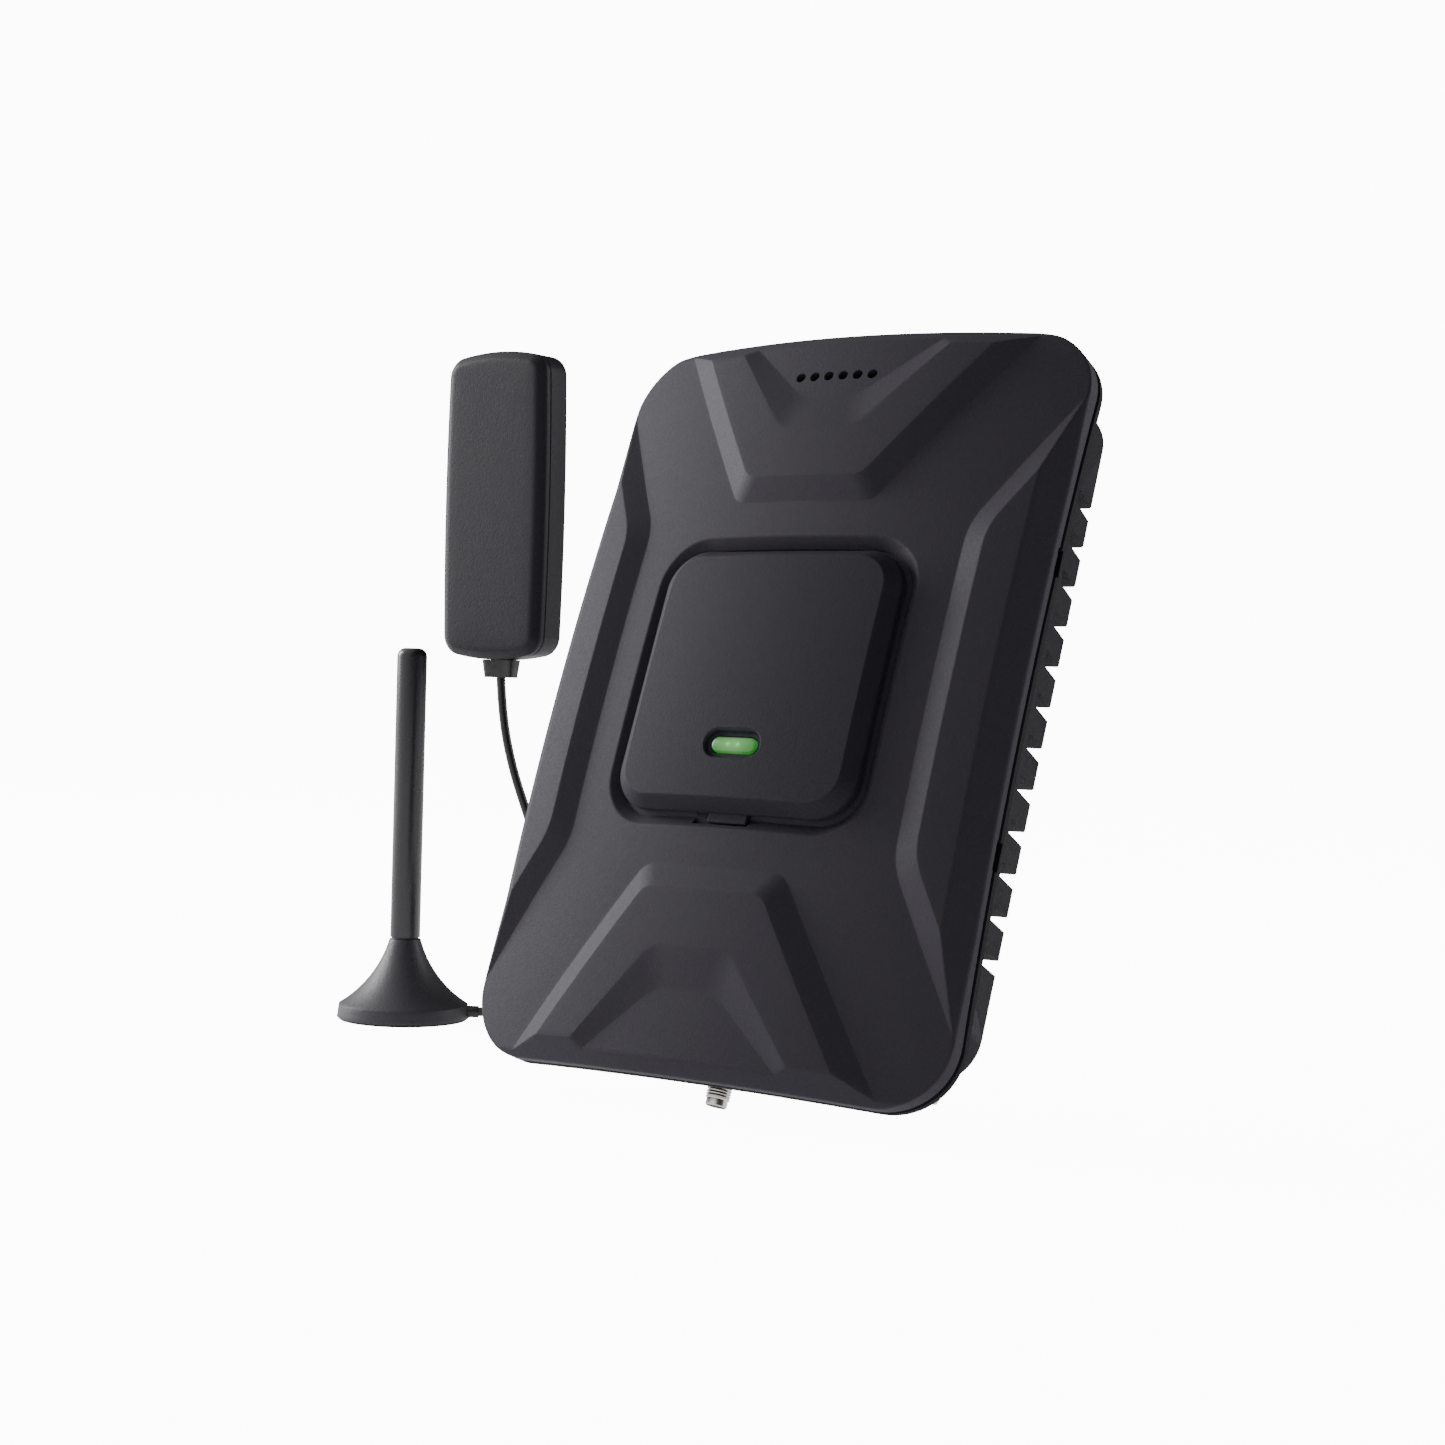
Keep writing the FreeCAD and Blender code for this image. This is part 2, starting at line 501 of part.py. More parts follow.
def make_lamp():
    stem = capsule("PipeStem", d("pipe_width"), d("pipe_height"), d("pipe_foot"), d("pipe_top"), d("lamp_y"))
    collar = capsule("PipeCollar", d("pipe_collar_width"), d("pipe_collar_height"), d("pipe_collar_bottom"),
                     d("pipe_collar_top"), d("lamp_y"))
    keep(lean(fused("LightPipe", stem, collar)), "light_pipe")
    lamp = new("Part::Box", "Lamp", Length=d("lamp_size"), Width=d("lamp_size"), Height=d("lamp_height"))
    keep(lean(lamp, "-Dim.lamp_size / 2", "Dim.lamp_y - Dim.lamp_size / 2",
              "Dim.board_bottom + Dim.board_thickness"),
         "status_lamp")


def make_seal():
    inset = "Dim.seal_inset + Dim.seal_width"
    ring = cut("SealRing",
               slab("SealPlan", "Dim.cover_width - 2 * Dim.seal_inset",
                    "Dim.cover_length - 2 * Dim.seal_inset",
                    "Dim.cover_corner - Dim.seal_inset", d("below"), d("above")),
               slab("SealInner", f"Dim.cover_width - 2 * ({inset})", f"Dim.cover_length - 2 * ({inset})",
                    f"Dim.cover_corner - ({inset})", d("below"), d("above")))
    trimmed = shared("SealTrimmed", ring, dome("SealTop", d("seal_crown")))
    keep(lean(cut("Seal", trimmed, dome("SealBottom", d("flange_crown")))), "cover_seal")


# ---------------------------------------------------------------- chassis with cooling fins
def make_chassis():
    face = dome("FlangeDome", d("flange_crown"))
    plate = slab("FlangePlan", d("cover_width"), d("cover_length"), d("cover_corner"), d("below"), d("above"))
    flange = cut("Flange", shared("FlangeTrimmed", plate, face), dome("FlangeBack", d("flange_back_crown")))
    sections = []
    for n, (side, end, level) in enumerate([("Dim.tub_draft + Dim.tub_edge", "Dim.tub_edge", "Dim.tub_back"),
                                            ("Dim.tub_draft", "0", "Dim.tub_back + Dim.tub_edge"),
                                            ("0", "0", "Dim.tub_shoulder"), ("0", "0", "Dim.above")], start=1):
        sections.append(outline_at(f"TubSection{n}", f"Dim.tub_width - 2 * ({side})",
                                   f"Dim.tub_length - 2 * ({end})", f"Dim.tub_corner - ({end})", level))
    tub = shared("Tub", loft("TubLoft", *sections), face)
    posts = [rod(f"Post{n}", d("post_radius"), d("below"), d("board_bottom"), f"{x} * Dim.post_x",
                 f"{y} * Dim.post_y")
             for n, (x, y) in enumerate(CORNERS, start=1)]
    pedestal = block("Pedestal", d("pedestal_size"), d("pedestal_size"), d("below"), d("pedestal_top"), "0",
                     d("pedestal_y"))
    pocket = cut("Pocket", slab("PocketPlan", d("pocket_width"), d("pocket_length"), d("pocket_corner"),
                                d("pocket_floor"), d("above")), pedestal, *posts)
    tools = [pocket]
    for side, sign in PORTS.items():
        tools.append(block(f"{side}Bay", d("bay_width"), d("bay_length"), d("bay_floor"), "0", "0",
                           f"{sign} * Dim.bay_middle"))
        tools.append(crosswise(f"{side}PortHole", d("port_hole"), d("wall_inside"), d("tub_corner"),
                               d(f"{side}_port_x"), d("port_z"), sign))
    tools.append(crosswise("PowerHole", d("power_hole"), d("wall_inside"), d("tub_corner"), d("power_x"),
                           d("power_z"), -1))
    for n, (x, y) in enumerate(CORNERS, start=1):
        tools.append(rod(f"PostThread{n}", d("board_screw"), "Dim.pocket_floor", "0", f"{x} * Dim.post_x",
                         f"{y} * Dim.post_y"))
        tools.append(rod(f"FlangeHole{n}", d("screw_hole"), d("below"), d("above"), f"{x} * Dim.screw_x",
                         f"{y} * Dim.screw_y"))
        tools.append(rod(f"FlangeSpot{n}", d("screw_spot"), d("below"), d("screw_seat"), f"{x} * Dim.screw_x",
                         f"{y} * Dim.screw_y"))
        tools.append(block(f"FlangeNotch{n}", "2 * Dim.notch_depth", d("notch_length"), d("notch_bottom"),
                           d("notch_top"), f"{x} * Dim.cover_width / 2", f"{y} * Dim.notch_y"))
    gap = "Dim.fin_gap / 2"
    flare = "(Dim.fin_gap / 2 + Dim.fin_flare)"
    mouth = "(Dim.tub_back - Dim.fin_flare)"
    throat = "Dim.tub_back + Dim.fin_flare_depth"
    channel = polygon(doc.addObject("Sketcher::SketchObject", "ChannelOutline"),
                      [(f"-{gap}", "Dim.fin_root"), (f"-{gap}", throat), (f"-{flare}", "Dim.tub_back"),
                       (f"-{flare}", mouth), (flare, mouth), (flare, "Dim.tub_back"), (gap, throat),
                       (gap, "Dim.fin_root")])
    for n, offset in enumerate(row_of("channel_count"), start=1):
        groove = new("Part::Extrusion", f"Channel{n}", LengthFwd=d("cover_width"))
        groove.Base = channel
        groove.DirMode = "Custom"
        groove.Dir = V(0, 0, 1)
        groove.Solid = True
        tools.append(move(groove, "-Dim.cover_width / 2", f"{offset} * Dim.fin_pitch", "0", "1; 1; 1", "120"))
    keep(lean(cut("Chassis", fused("ChassisBlank", flange, tub), *tools)), "finned_chassis")


def make_screws():
    for n, (x, y) in enumerate(CORNERS, start=1):
        top = "Dim.screw_head_height + Dim.screw_length"
        screw = turned(f"CoverScrew{n}", [("0", "0"), (d("screw_head"), "0"),
                                          (d("screw_head"), d("screw_head_height")),
                                          (d("screw_radius"), d("screw_head_height")),
                                          (d("screw_radius"), top), ("0", top)])
        keep(lean(screw, f"{x} * Dim.screw_x", f"{y} * Dim.screw_y", "Dim.screw_seat - Dim.screw_head_height"),
             f"cover_screw_{n}")


# ---------------------------------------------------------------- circuit board
def make_board():
    body, pad = padded("Board", d("board_width"), d("board_length"), d("board_corner"), d("board_thickness"))

    def holes(sketch):
        for n, (x, y) in enumerate(CORNERS):
            middle = V(x * value(d("post_x")), y * value(d("post_y")), 0)
            sketch.addGeometry(Part.Circle(middle, V(0, 0, 1), value(d("board_hole"))), False)
            radius = Sketcher.Constraint("Radius", n, value(d("board_hole")))
            bound(sketch, f"radius{n}", radius, d("board_hole"))
            bound(sketch, f"across{n}", Sketcher.Constraint("DistanceX", -1, 1, n, 3, middle.x),
                  f"{x} * Dim.post_x")
            bound(sketch, f"along{n}", Sketcher.Constraint("DistanceY", -1, 1, n, 3, middle.y),
                  f"{y} * Dim.post_y")

    pocketed(body, "BoardHoles", "2 * Dim.board_thickness", holes)
    keep(lean(body, z=d("board_bottom")), "main_board")

    top = "Dim.board_bottom + Dim.board_thickness"
    places = [("-Dim.shield_x", d("shield_y")), (d("shield_x"), d("shield_y")),
              ("-Dim.shield_x", d("lower_shield_y"))]
    for n, (x, y) in enumerate(places, start=1):
        outer = block(f"ShieldOuter{n}", d("shield_width"), d("shield_length"), top,
                      f"{top} + Dim.shield_height", x, y)
        inner = block(f"ShieldInner{n}", "Dim.shield_width - 2 * Dim.shield_wall",
                      "Dim.shield_length - 2 * Dim.shield_wall", top,
                      f"{top} + Dim.shield_height - Dim.shield_wall", x, y)
        keep(lean(cut(f"Shield{n}", outer, inner)), f"rf_shield_{n}")

    for n, sign in enumerate((-1, 1), start=1):
        chip = new("Part::Box", f"Chip{n}", Length=d("chip_size"), Width=d("chip_size"),
                   Height=d("chip_height"))
        keep(lean(chip, f"{sign} * Dim.chip_spread - Dim.chip_size / 2", "Dim.pedestal_y - Dim.chip_size / 2",
                  "Dim.board_bottom - Dim.chip_height"), f"amplifier_chip_{n}")
    cushion = new("Part::Box", "ThermalPad", Length=d("pedestal_size"), Width=d("pedestal_size"),
                  Height="Dim.board_bottom - Dim.chip_height - Dim.pedestal_top")
    keep(lean(cushion, "-Dim.pedestal_size / 2", "Dim.pedestal_y - Dim.pedestal_size / 2", d("pedestal_top")),
         "thermal_pad")

    head = "Dim.board_screw_length + Dim.board_screw_head_height"
    screws = []
    for n, (x, y) in enumerate(CORNERS, start=1):
        screw = turned(f"BoardScrew{n}", [("0", "0"), (d("board_screw"), "0"),
                                          (d("board_screw"), d("board_screw_length")),
                                          (d("board_screw_head"), d("board_screw_length")),
                                          (d("board_screw_head"), head), ("0", head)])
        screws.append(move(screw, f"{x} * Dim.post_x", f"{y} * Dim.post_y",
                           f"{top} - Dim.board_screw_length"))
    group = doc.addObject("Part::Compound", "BoardScrews")
    group.Links = screws
    keep(lean(group), "board_screws")


# ---------------------------------------------------------------- sockets in the end walls
def hex_nut(name, start, end, *bores):
    """A hexagonal nut along Z between two heights, less the bores given."""
    prism = new("Part::Prism", name + "Hex", Circumradius="Dim.nut_flats / 2 / cos(30)",
                Height=f"({end}) - ({start})")
    prism.Polygon = 6
    return cut(name, move(prism, z=start), *bores)


def make_port(side, sign):
    """A bulkhead screw port in one end wall; its own Z axis leads outwards from the wall's inside."""
    seat = (d(f"{side}_port_x"), f"{sign} * Dim.wall_inside", "Dim.port_z")
    turn = f"{-90 * sign}"
    name = side.capitalize()
    tail, tip, bore = "-Dim.barrel_tail", d("barrel_length"), d("barrel_bore")
    flange = "-Dim.barrel_flange_thickness"
    barrel = turned(name + "Barrel", [(bore, tail), (d("barrel_tail_radius"), tail),
                                      (d("barrel_tail_radius"), flange), (d("barrel_flange"), flange),
                                      (d("barrel_flange"), "0"), (d("shank_radius"), "0"),
                                      (d("shank_radius"), d("shank_length")),
                                      (d("barrel_radius"), d("shank_length")), (d("barrel_radius"), tip),
                                      (bore, tip)])
    keep(lean(barrel, *seat, turn), f"{side}_port_barrel")
    face = "Dim.barrel_length - Dim.insulator_setback"
    insulator = turned(name + "Insulator", [(d("contact_radius"), tail), (bore, tail), (bore, face),
                                            (d("contact_radius"), face)])
    keep(lean(insulator, *seat, turn), f"{side}_port_insulator")
    socket_floor = f"{face} - Dim.contact_depth"
    end = "-Dim.barrel_tail - Dim.contact_tail"
    contact = turned(name + "Contact", [("0", end), (d("contact_radius"), end), (d("contact_radius"), face),
                                        (d("contact_socket"), face), (d("contact_socket"), socket_floor),
                                        ("0", socket_floor)])
    keep(lean(contact, *seat, turn), f"{side}_port_contact")
    wall, under = d("wall_thickness"), "Dim.wall_thickness + Dim.washer_thickness"
    washer = turned(name + "Washer", [(d("port_hole"), wall), (d("washer_radius"), wall),
                                      (d("washer_radius"), under), (d("port_hole"), under)])
    keep(lean(washer, *seat, turn), f"{side}_port_washer")
    top = f"{under} + Dim.port_nut_length"
    nut = hex_nut(name + "Nut", under, top, rod(name + "NutBore", d("port_hole"), "0", tip))
    keep(lean(nut, *seat, turn), f"{side}_port_nut")


def make_power_socket():
    seat = ("Dim.power_x", "-Dim.wall_inside", "Dim.power_z")
    case = block("PowerCase", d("power_size"), d("power_size"), "-Dim.power_depth", "0")
    nose = rod("PowerNose", d("power_nose"), "0", d("wall_thickness"))
    bore = rod("PowerBore", d("power_bore"), "Dim.wall_thickness - Dim.power_bore_depth",
               "Dim.wall_thickness")
    socket = cut("PowerSocket", fused("PowerBlank", case, nose), bore)
    keep(lean(socket, *seat, "90"), "power_socket")
    pin = new("Part::Cylinder", "PowerPin", Radius=d("power_pin"), Height=d("power_pin_length"))
    keep(lean(pin, "Dim.power_x", "-Dim.wall_inside - Dim.wall_thickness + Dim.power_bore_depth",
              "Dim.power_z",
              "90"), "power_pin")


# ---------------------------------------------------------------- inside antenna
def make_panel_shell(name, label, depth, edge, turn):
    """Half of the flat antenna box, open where the two halves meet."""
    body, pad = padded(name, d("panel_width"), d("panel_height"), d("panel_corner"), d(depth))
    softened(body, pad, name + "Edge", value(d(depth)), d(edge))
    pocketed(body, name + "Hollow", f"Dim.{depth} - Dim.panel_wall", lambda sketch: rounded(
        sketch, "Dim.panel_width - 2 * Dim.panel_wall", "Dim.panel_height - 2 * Dim.panel_wall",
        "Dim.panel_corner - Dim.panel_wall"))
    move(body, d("panel_x"), "Dim.panel_back - Dim.back_shell_depth", d("panel_z"), "1; 0; 0", turn)
    keep(body, label)


def make_inside_antenna():
    make_panel_shell("FrontShell", "inside_front_shell", "front_shell_depth", "panel_edge", "90")
    make_panel_shell("BackShell", "inside_back_shell", "back_shell_depth", "back_edge", "-90")
    inset = "2 * Dim.antenna_board_inset"
    board = slab("AntennaBoard", f"Dim.panel_width - {inset}", f"Dim.panel_height - {inset}",
                 "Dim.panel_corner - Dim.antenna_board_inset", "0", d("antenna_board_thickness"))
    keep(move(board, d("panel_x"), "Dim.panel_back - Dim.back_shell_depth / 2", d("panel_z"), "1; 0; 0", "90"),
         "inside_antenna_board")
    sticker = slab("Sticker", "Dim.panel_width - 2 * Dim.sticker_inset",
                   "Dim.panel_height - 2 * Dim.sticker_inset",
                   "Dim.panel_corner - Dim.sticker_inset", "0", d("sticker_thickness"))
    keep(move(sticker, d("panel_x"), d("panel_back"), d("panel_z"), "1; 0; 0", "-90"), "inside_adhesive_pad")
    relief = loft("InsideRelief",
                  outline_at("ReliefFoot", "Dim.relief_width - 2 * Dim.relief_taper",
                             "Dim.relief_depth - 2 * Dim.relief_taper", d("lead_radius"), "0"),
                  outline_at("ReliefTop", d("relief_width"), d("relief_depth"),
                             "Dim.lead_radius + Dim.relief_taper", d("relief_height")))
    keep(move(relief, d("relief_x"), d("relief_y"), "Dim.panel_z - Dim.panel_height / 2 - Dim.relief_height"),
         "inside_strain_relief")


# ---------------------------------------------------------------- outside antenna
def make_outside_antenna():
    post = (d("mast_x"), d("mast_y"))
    shoulder, roof = "Dim.mast_top - Dim.mast_round", "Dim.mast_top - Dim.mast_roof"
    sleeve = turned("MastSleeve", [(d("mast_bore"), d("mast_foot")), (d("mast_radius"), d("mast_foot")),
                                   (d("mast_radius"), shoulder, "-Dim.mast_round"),
                                   ("Dim.mast_radius - Dim.mast_round", d("mast_top")), ("0", d("mast_top")),
                                   ("0", roof), (d("mast_bore"), roof)])
    keep(move(sleeve, *post), "mast_sleeve")
    bore = "Dim.stud_radius + Dim.stud_clearance"
    ferrule_top = "Dim.mast_foot + Dim.ferrule_length"
    ferrule = turned("MastFerrule", [(bore, d("mast_foot")), (d("mast_bore"), d("mast_foot")),
                                     (d("mast_bore"), ferrule_top), (bore, ferrule_top)])
    keep(move(ferrule, *post), "mast_ferrule")
    radiator = rod("Radiator", d("radiator_radius"), "0", d("radiator_length"))
    base = rod("RadiatorFoot", d("mast_bore"), "0", d("radiator_radius"))
    keep(move(fused("MastRadiator", radiator, base), *post, ferrule_top), "mast_radiator")
    stud = rod("MastStud", d("stud_radius"), d("stud_foot"), d("stud_top"), *post)
    keep(stud, "mast_stud")

    neck, under = "Dim.mast_foot - Dim.mast_gap", d("foot_thickness")
    plate_top = "Dim.foot_thickness + Dim.plate_thickness"
    magnet_top = f"{plate_top} + Dim.magnet_thickness"
    cone = turned("MagnetBase", [(d("plate_radius"), under), (d("base_radius"), under),
                                 (d("rim_radius"), d("rim_height"), d("flare_arc")),
                                 (d("flare_radius"), d("flare_top")), (d("neck_radius"), d("flare_top")),
                                 (d("neck_radius"), neck), (d("stud_radius"), neck),
                                 (d("stud_radius"), d("stud_foot")), ("0", d("stud_foot")), ("0", magnet_top),
                                 (d("magnet_radius"), magnet_top), (d("magnet_radius"), plate_top),
                                 (d("plate_radius"), plate_top)])
    boots = []
    for name, length in (("BootHole", d("base_radius")), ("Boot", "Dim.boot_outer - Dim.boot_inner")):
        boot = new("Part::Cylinder", name, Radius=d("boot_radius"), Height=length)
        boots.append(boot)
    move(boots[0], "Dim.boot_inner * cos(Dim.exit_angle)", "Dim.boot_inner * sin(Dim.exit_angle)",
         d("exit_height"), "-sin(Dim.exit_angle); cos(Dim.exit_angle); 0", "90")
    keep(move(cut("MagnetBaseCover", cone, boots[0]), *post), "magnet_base_cover")
    move(boots[1], "Dim.mast_x + Dim.boot_inner * cos(Dim.exit_angle)",
         "Dim.mast_y + Dim.boot_inner * sin(Dim.exit_angle)", d("exit_height"),
         "-sin(Dim.exit_angle); cos(Dim.exit_angle); 0", "90")
    keep(boots[1], "outside_strain_relief")
    keep(rod("BasePlate", d("plate_radius"), under, plate_top, *post), "base_plate")
    keep(rod("Magnet", d("magnet_radius"), plate_top, magnet_top, *post), "base_magnet")
    keep(rod("BaseFoot", d("foot_radius"), "0", under, *post), "base_foot_pad")


# ---------------------------------------------------------------- leads, coils and plugs
INSIDE_LEAD = [(-85.3, 45.5, 105), (-84.2, 45.4, 93), (-80.1, 45.7, 77.5), (-74.1, 46.5, 63), (-68.7, 49, 47),
               (-62.2, 54, 32), (-52.2, 61, 17.5), (-37.2, 67.5, 7), (-19.2, 69.5, 2.6), (-2.2, 65, 3.4),
                (11.8, 55.5, 5),
               (23.8, 52.4, 5)]
INSIDE_TAIL = [(38.3, 38, 5), (38.3, 24, 5), (44.8, 11, 4.9), (57.8, 4.5, 4.9), (71.8, 4.5, 4.9)]
OUTSIDE_LEAD = [(-83.53, 36.76, 2.6), (-68.6, 46.8, 3), (-51.2, 54.5, 4.8), (-32.2, 56, 6.8)]
OUTSIDE_TAIL = [(-13.2, 39, 7), (-13.2, 21.5, 6.6), (-7.2, 5.5, 5.4), (4.8, -3, 4.9), (18.8, -3, 4.9)]
ARC_SHARE = 0.45


def make_tube(name, label, route):
    """A round lead along straight runs joined by tangent arcs as large as the runs allow."""
    points = [V(*point) for point in route]
    edges = []
    start = points[0]
    for before, corner, after in zip(points, points[1:], points[2:]):
        back, ahead = before - corner, after - corner
        cutback = ARC_SHARE * min(back.Length, ahead.Length)
        half_turn = (math.pi - back.getAngle(ahead)) / 2
        radius = cutback / math.tan(half_turn)
        enter = corner + back.normalize() * cutback
        leave = corner + ahead.normalize() * cutback
        bisector = (back + ahead).normalize()
        middle = corner + bisector * (radius / math.cos(half_turn) - radius)
        edges.append(Part.LineSegment(start, enter).toShape())
        edges.append(Part.Arc(enter, middle, leave).toShape())
        start = leave
        print(f"{label}: arc radius {radius:.1f} mm")
    edges.append(Part.LineSegment(start, points[-1]).toShape())
    path = Part.Wire(edges)
    radius = value(d("lead_radius"))
    section = Part.Wire(Part.makeCircle(radius, points[0], points[1] - points[0]))
    tube = path.makePipeShell([section], True, False)
    expected = math.pi * radius ** 2 * path.Length
    if abs(tube.Volume / expected - 1) > 0.01:
        raise RuntimeError(f"{label}: volume {tube.Volume:.1f}, section times length {expected:.1f}")
    item = doc.addObject("Part::Feature", name)
    item.Shape = tube
    item.Placement = FreeCAD.Placement()
    keep(item, label)
    print(f"{label}: length {path.Length:.1f} mm")


def make_coil(side):
    """The outer shape of the wound part of a lead, and the tie round it."""
    name = side.capitalize()
    middle, x, y = d(f"{side}_coil_radius"), d(f"{side}_coil_x"), d(f"{side}_coil_y")
    width, height = d(f"{side}_coil_width"), d(f"{side}_coil_height")
    inner, outer = f"{middle} - {width} / 2", f"{middle} + {width} / 2"
    low, high, bevel = d("coil_lift"), f"Dim.coil_lift + {height}", d("coil_chamfer")
    coil = turned(name + "Coil", [(f"{inner} + {bevel}", low), (f"{outer} - {bevel}", low),
                                  (outer, f"{low} + {bevel}"), (outer, f"{high} - {bevel}"),
                                  (f"{outer} - {bevel}", high), (f"{inner} + {bevel}", high),
                                  (inner, f"{high} - {bevel}"), (inner, f"{low} + {bevel}")])
    keep(move(coil, x, y), f"{side}_lead_coil")
    across = f"{width} + 2 * Dim.tie_gap"
    band = block(name + "TieOuter", d("tie_width"), f"{across} + 2 * Dim.tie_thickness",
                 "Dim.coil_lift - Dim.tie_rise - Dim.tie_thickness",
                 f"{high} + Dim.tie_rise + Dim.tie_thickness")
    opening = block(name + "TieInner", "2 * Dim.tie_width", across, "Dim.coil_lift - Dim.tie_rise",
                    f"{high} + Dim.tie_rise")
    keep(move(cut(name + "Tie", band, opening), x, f"{y} - {middle}"), f"{side}_coil_tie")


def make_plug(side):
    """A screw plug lying along +X; its own Z axis leads from the lead to the mouth."""
    name = side.capitalize()
    seat = (d(f"{side}_plug_x"), d(f"{side}_plug_y"), d("plug_axis"), "0; 1; 0", "90")
    neck = d("plug_neck")
    body = turned(name + "PlugBody", [("0", "0"), (d("crimp_radius"), "0"),
                                      (d("crimp_radius"), d("crimp_length")),
                                      (d("collar_radius"), d("crimp_length")),
                                      (d("collar_radius"), d("collar_end")),
                                      (neck, d("collar_end")), (neck, d("ring_start")),
                                      (d("plug_ring"), d("ring_start")), (d("plug_ring"), d("ring_end")),
                                      (neck, d("ring_end")), (neck, d("plug_front")),
                                      (d("plug_bore"), d("plug_front")), (d("plug_bore"), d("plug_floor")),
                                      ("0", d("plug_floor"))])
    keep(move(body, *seat), f"{side}_plug_body")
    pin = rod(name + "PlugPin", d("pin_radius"), d("plug_floor"), d("pin_front"))
    blank = rod(name + "PinBlank", d("collar_radius"), "0", d("coupling_end"))
    keep(move(shared(name + "PlugPinTurned", pin, blank),
              *seat), f"{side}_plug_pin")
    nut = hex_nut(name + "PlugNut", d("coupling_start"), d("coupling_end"),
                  rod(name + "NutNeck", d("coupling_neck"), "0", d("coupling_step")),
                  rod(name + "NutMouth", d("coupling_bore"), d("coupling_step"), "2 * Dim.coupling_end"))
    keep(move(nut, *seat), f"{side}_plug_nut")


# ---------------------------------------------------------------- build, check and write
def main():
    make_cover()
    make_badge()
    make_lamp()
    make_seal()
    make_chassis()
    make_screws()
    make_board()
    for side, sign in PORTS.items():
        make_port(side, sign)
    make_power_socket()
    make_inside_antenna()
    make_outside_antenna()
    make_tube("InsideLead", "inside_lead_tube", INSIDE_LEAD)
    make_tube("InsideTail", "inside_tail_tube", INSIDE_TAIL)
    make_tube("OutsideLead", "outside_lead_tube", OUTSIDE_LEAD)
    make_tube("OutsideTail", "outside_tail_tube", OUTSIDE_TAIL)
    for side in ("inside", "outside"):
        make_coil(side)
        make_plug(side)
    doc.recompute()
    for item in doc.Objects:
        if {"Invalid", "Error"} & set(item.State):
            raise RuntimeError(f"{item.Name} did not build: {item.State}")
    for item in nodes:
        if item.Shape.isNull() or not item.Shape.isValid() or item.Shape.Volume <= 0:
            raise RuntimeError(f"{item.Label} has no valid shape")
    os.makedirs("parts", exist_ok=True)
    for item in nodes:
        item.Shape.exportStep(f"parts/{item.Label}.step")
        box = item.Shape.BoundBox
        print(f"{item.Label}: {len(item.Shape.Solids)} solid, {item.Shape.Volume:.0f} mm3, "
              f"x {box.XMin:.1f} {box.XMax:.1f}, y {box.YMin:.1f} {box.YMax:.1f}, z {box.ZMin:.2f} {box.ZMax:.1f}")
    print(f"{len(nodes)} sub-parts")


main()
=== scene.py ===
"""Cellular signal booster with its inside panel antenna and outside magnet-mount antenna.

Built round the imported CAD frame, in metres, +Z up. The booster leans back, and its own axes are
x to the right, y up its long side and z out of its domed front, from the middle of its front rim.
Shapes are worked out in millimetres and scaled by MM.
"""
import json
import math

import bmesh
import bpy
import numpy as np
from mathutils import Matrix, Vector


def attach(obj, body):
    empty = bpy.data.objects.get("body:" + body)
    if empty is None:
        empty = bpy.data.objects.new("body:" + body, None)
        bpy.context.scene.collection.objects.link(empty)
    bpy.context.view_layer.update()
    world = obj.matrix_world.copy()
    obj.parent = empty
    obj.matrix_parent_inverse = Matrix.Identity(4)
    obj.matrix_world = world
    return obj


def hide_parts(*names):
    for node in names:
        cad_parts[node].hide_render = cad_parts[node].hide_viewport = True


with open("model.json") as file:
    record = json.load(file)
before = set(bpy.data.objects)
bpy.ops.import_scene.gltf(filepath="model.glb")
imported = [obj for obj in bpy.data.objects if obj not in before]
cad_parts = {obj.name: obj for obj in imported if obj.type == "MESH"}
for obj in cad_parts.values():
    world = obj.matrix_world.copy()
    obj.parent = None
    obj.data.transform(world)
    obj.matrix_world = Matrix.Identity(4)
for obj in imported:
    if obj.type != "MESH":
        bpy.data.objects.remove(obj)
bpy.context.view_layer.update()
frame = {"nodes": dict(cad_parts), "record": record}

MM = 0.001
TILT = math.radians(21.456)
BOOSTER = Matrix(((1, 0, 0, 52.8 * MM),
                  (0, math.sin(TILT), -math.cos(TILT), -12 * MM),
                  (0, math.cos(TILT), math.sin(TILT), 103 * MM),
                  (0, 0, 0, 1)))
CORNERS = [(-1, -1), (1, -1), (1, 1), (-1, 1)]
LAMP = (0, -18.9)   # middle of the status lamp on the booster's front


# ---------------------------------------------------------------- camera
def add_camera():
    """Right of the booster's axis and level with its middle."""
    right = Vector((0.8288, 0.5588, 0.0277))
    up = Vector((-0.0334, 0.0, 0.9994))
    back = Vector((0.5585, -0.8293, 0.0187))
    place = Vector((377.5, -518.5, 106.6)) * MM
    camera = bpy.data.objects.new("camera", bpy.data.cameras.new("camera"))
    bpy.context.scene.collection.objects.link(camera)
    camera.data.sensor_width = 36
    camera.data.lens = 58.59
    camera.data.clip_start = 0.01
    rows = [[*row, offset] for row, offset in zip(zip(right, up, back), place)]
    camera.matrix_world = Matrix(rows + [[0, 0, 0, 1]])
    bpy.context.scene.camera = camera


# ---------------------------------------------------------------- materials
def node(tree, kind, **inputs):
    """A shader node; inputs are set by name, from a value or from another node's socket."""
    made = tree.nodes.new("ShaderNode" + kind)
    for name, given in inputs.items():
        socket = made.inputs[name.replace("_", " ")]
        if isinstance(given, bpy.types.NodeSocket):
            tree.links.new(given, socket)
        else:
            socket.default_value = given
    return made


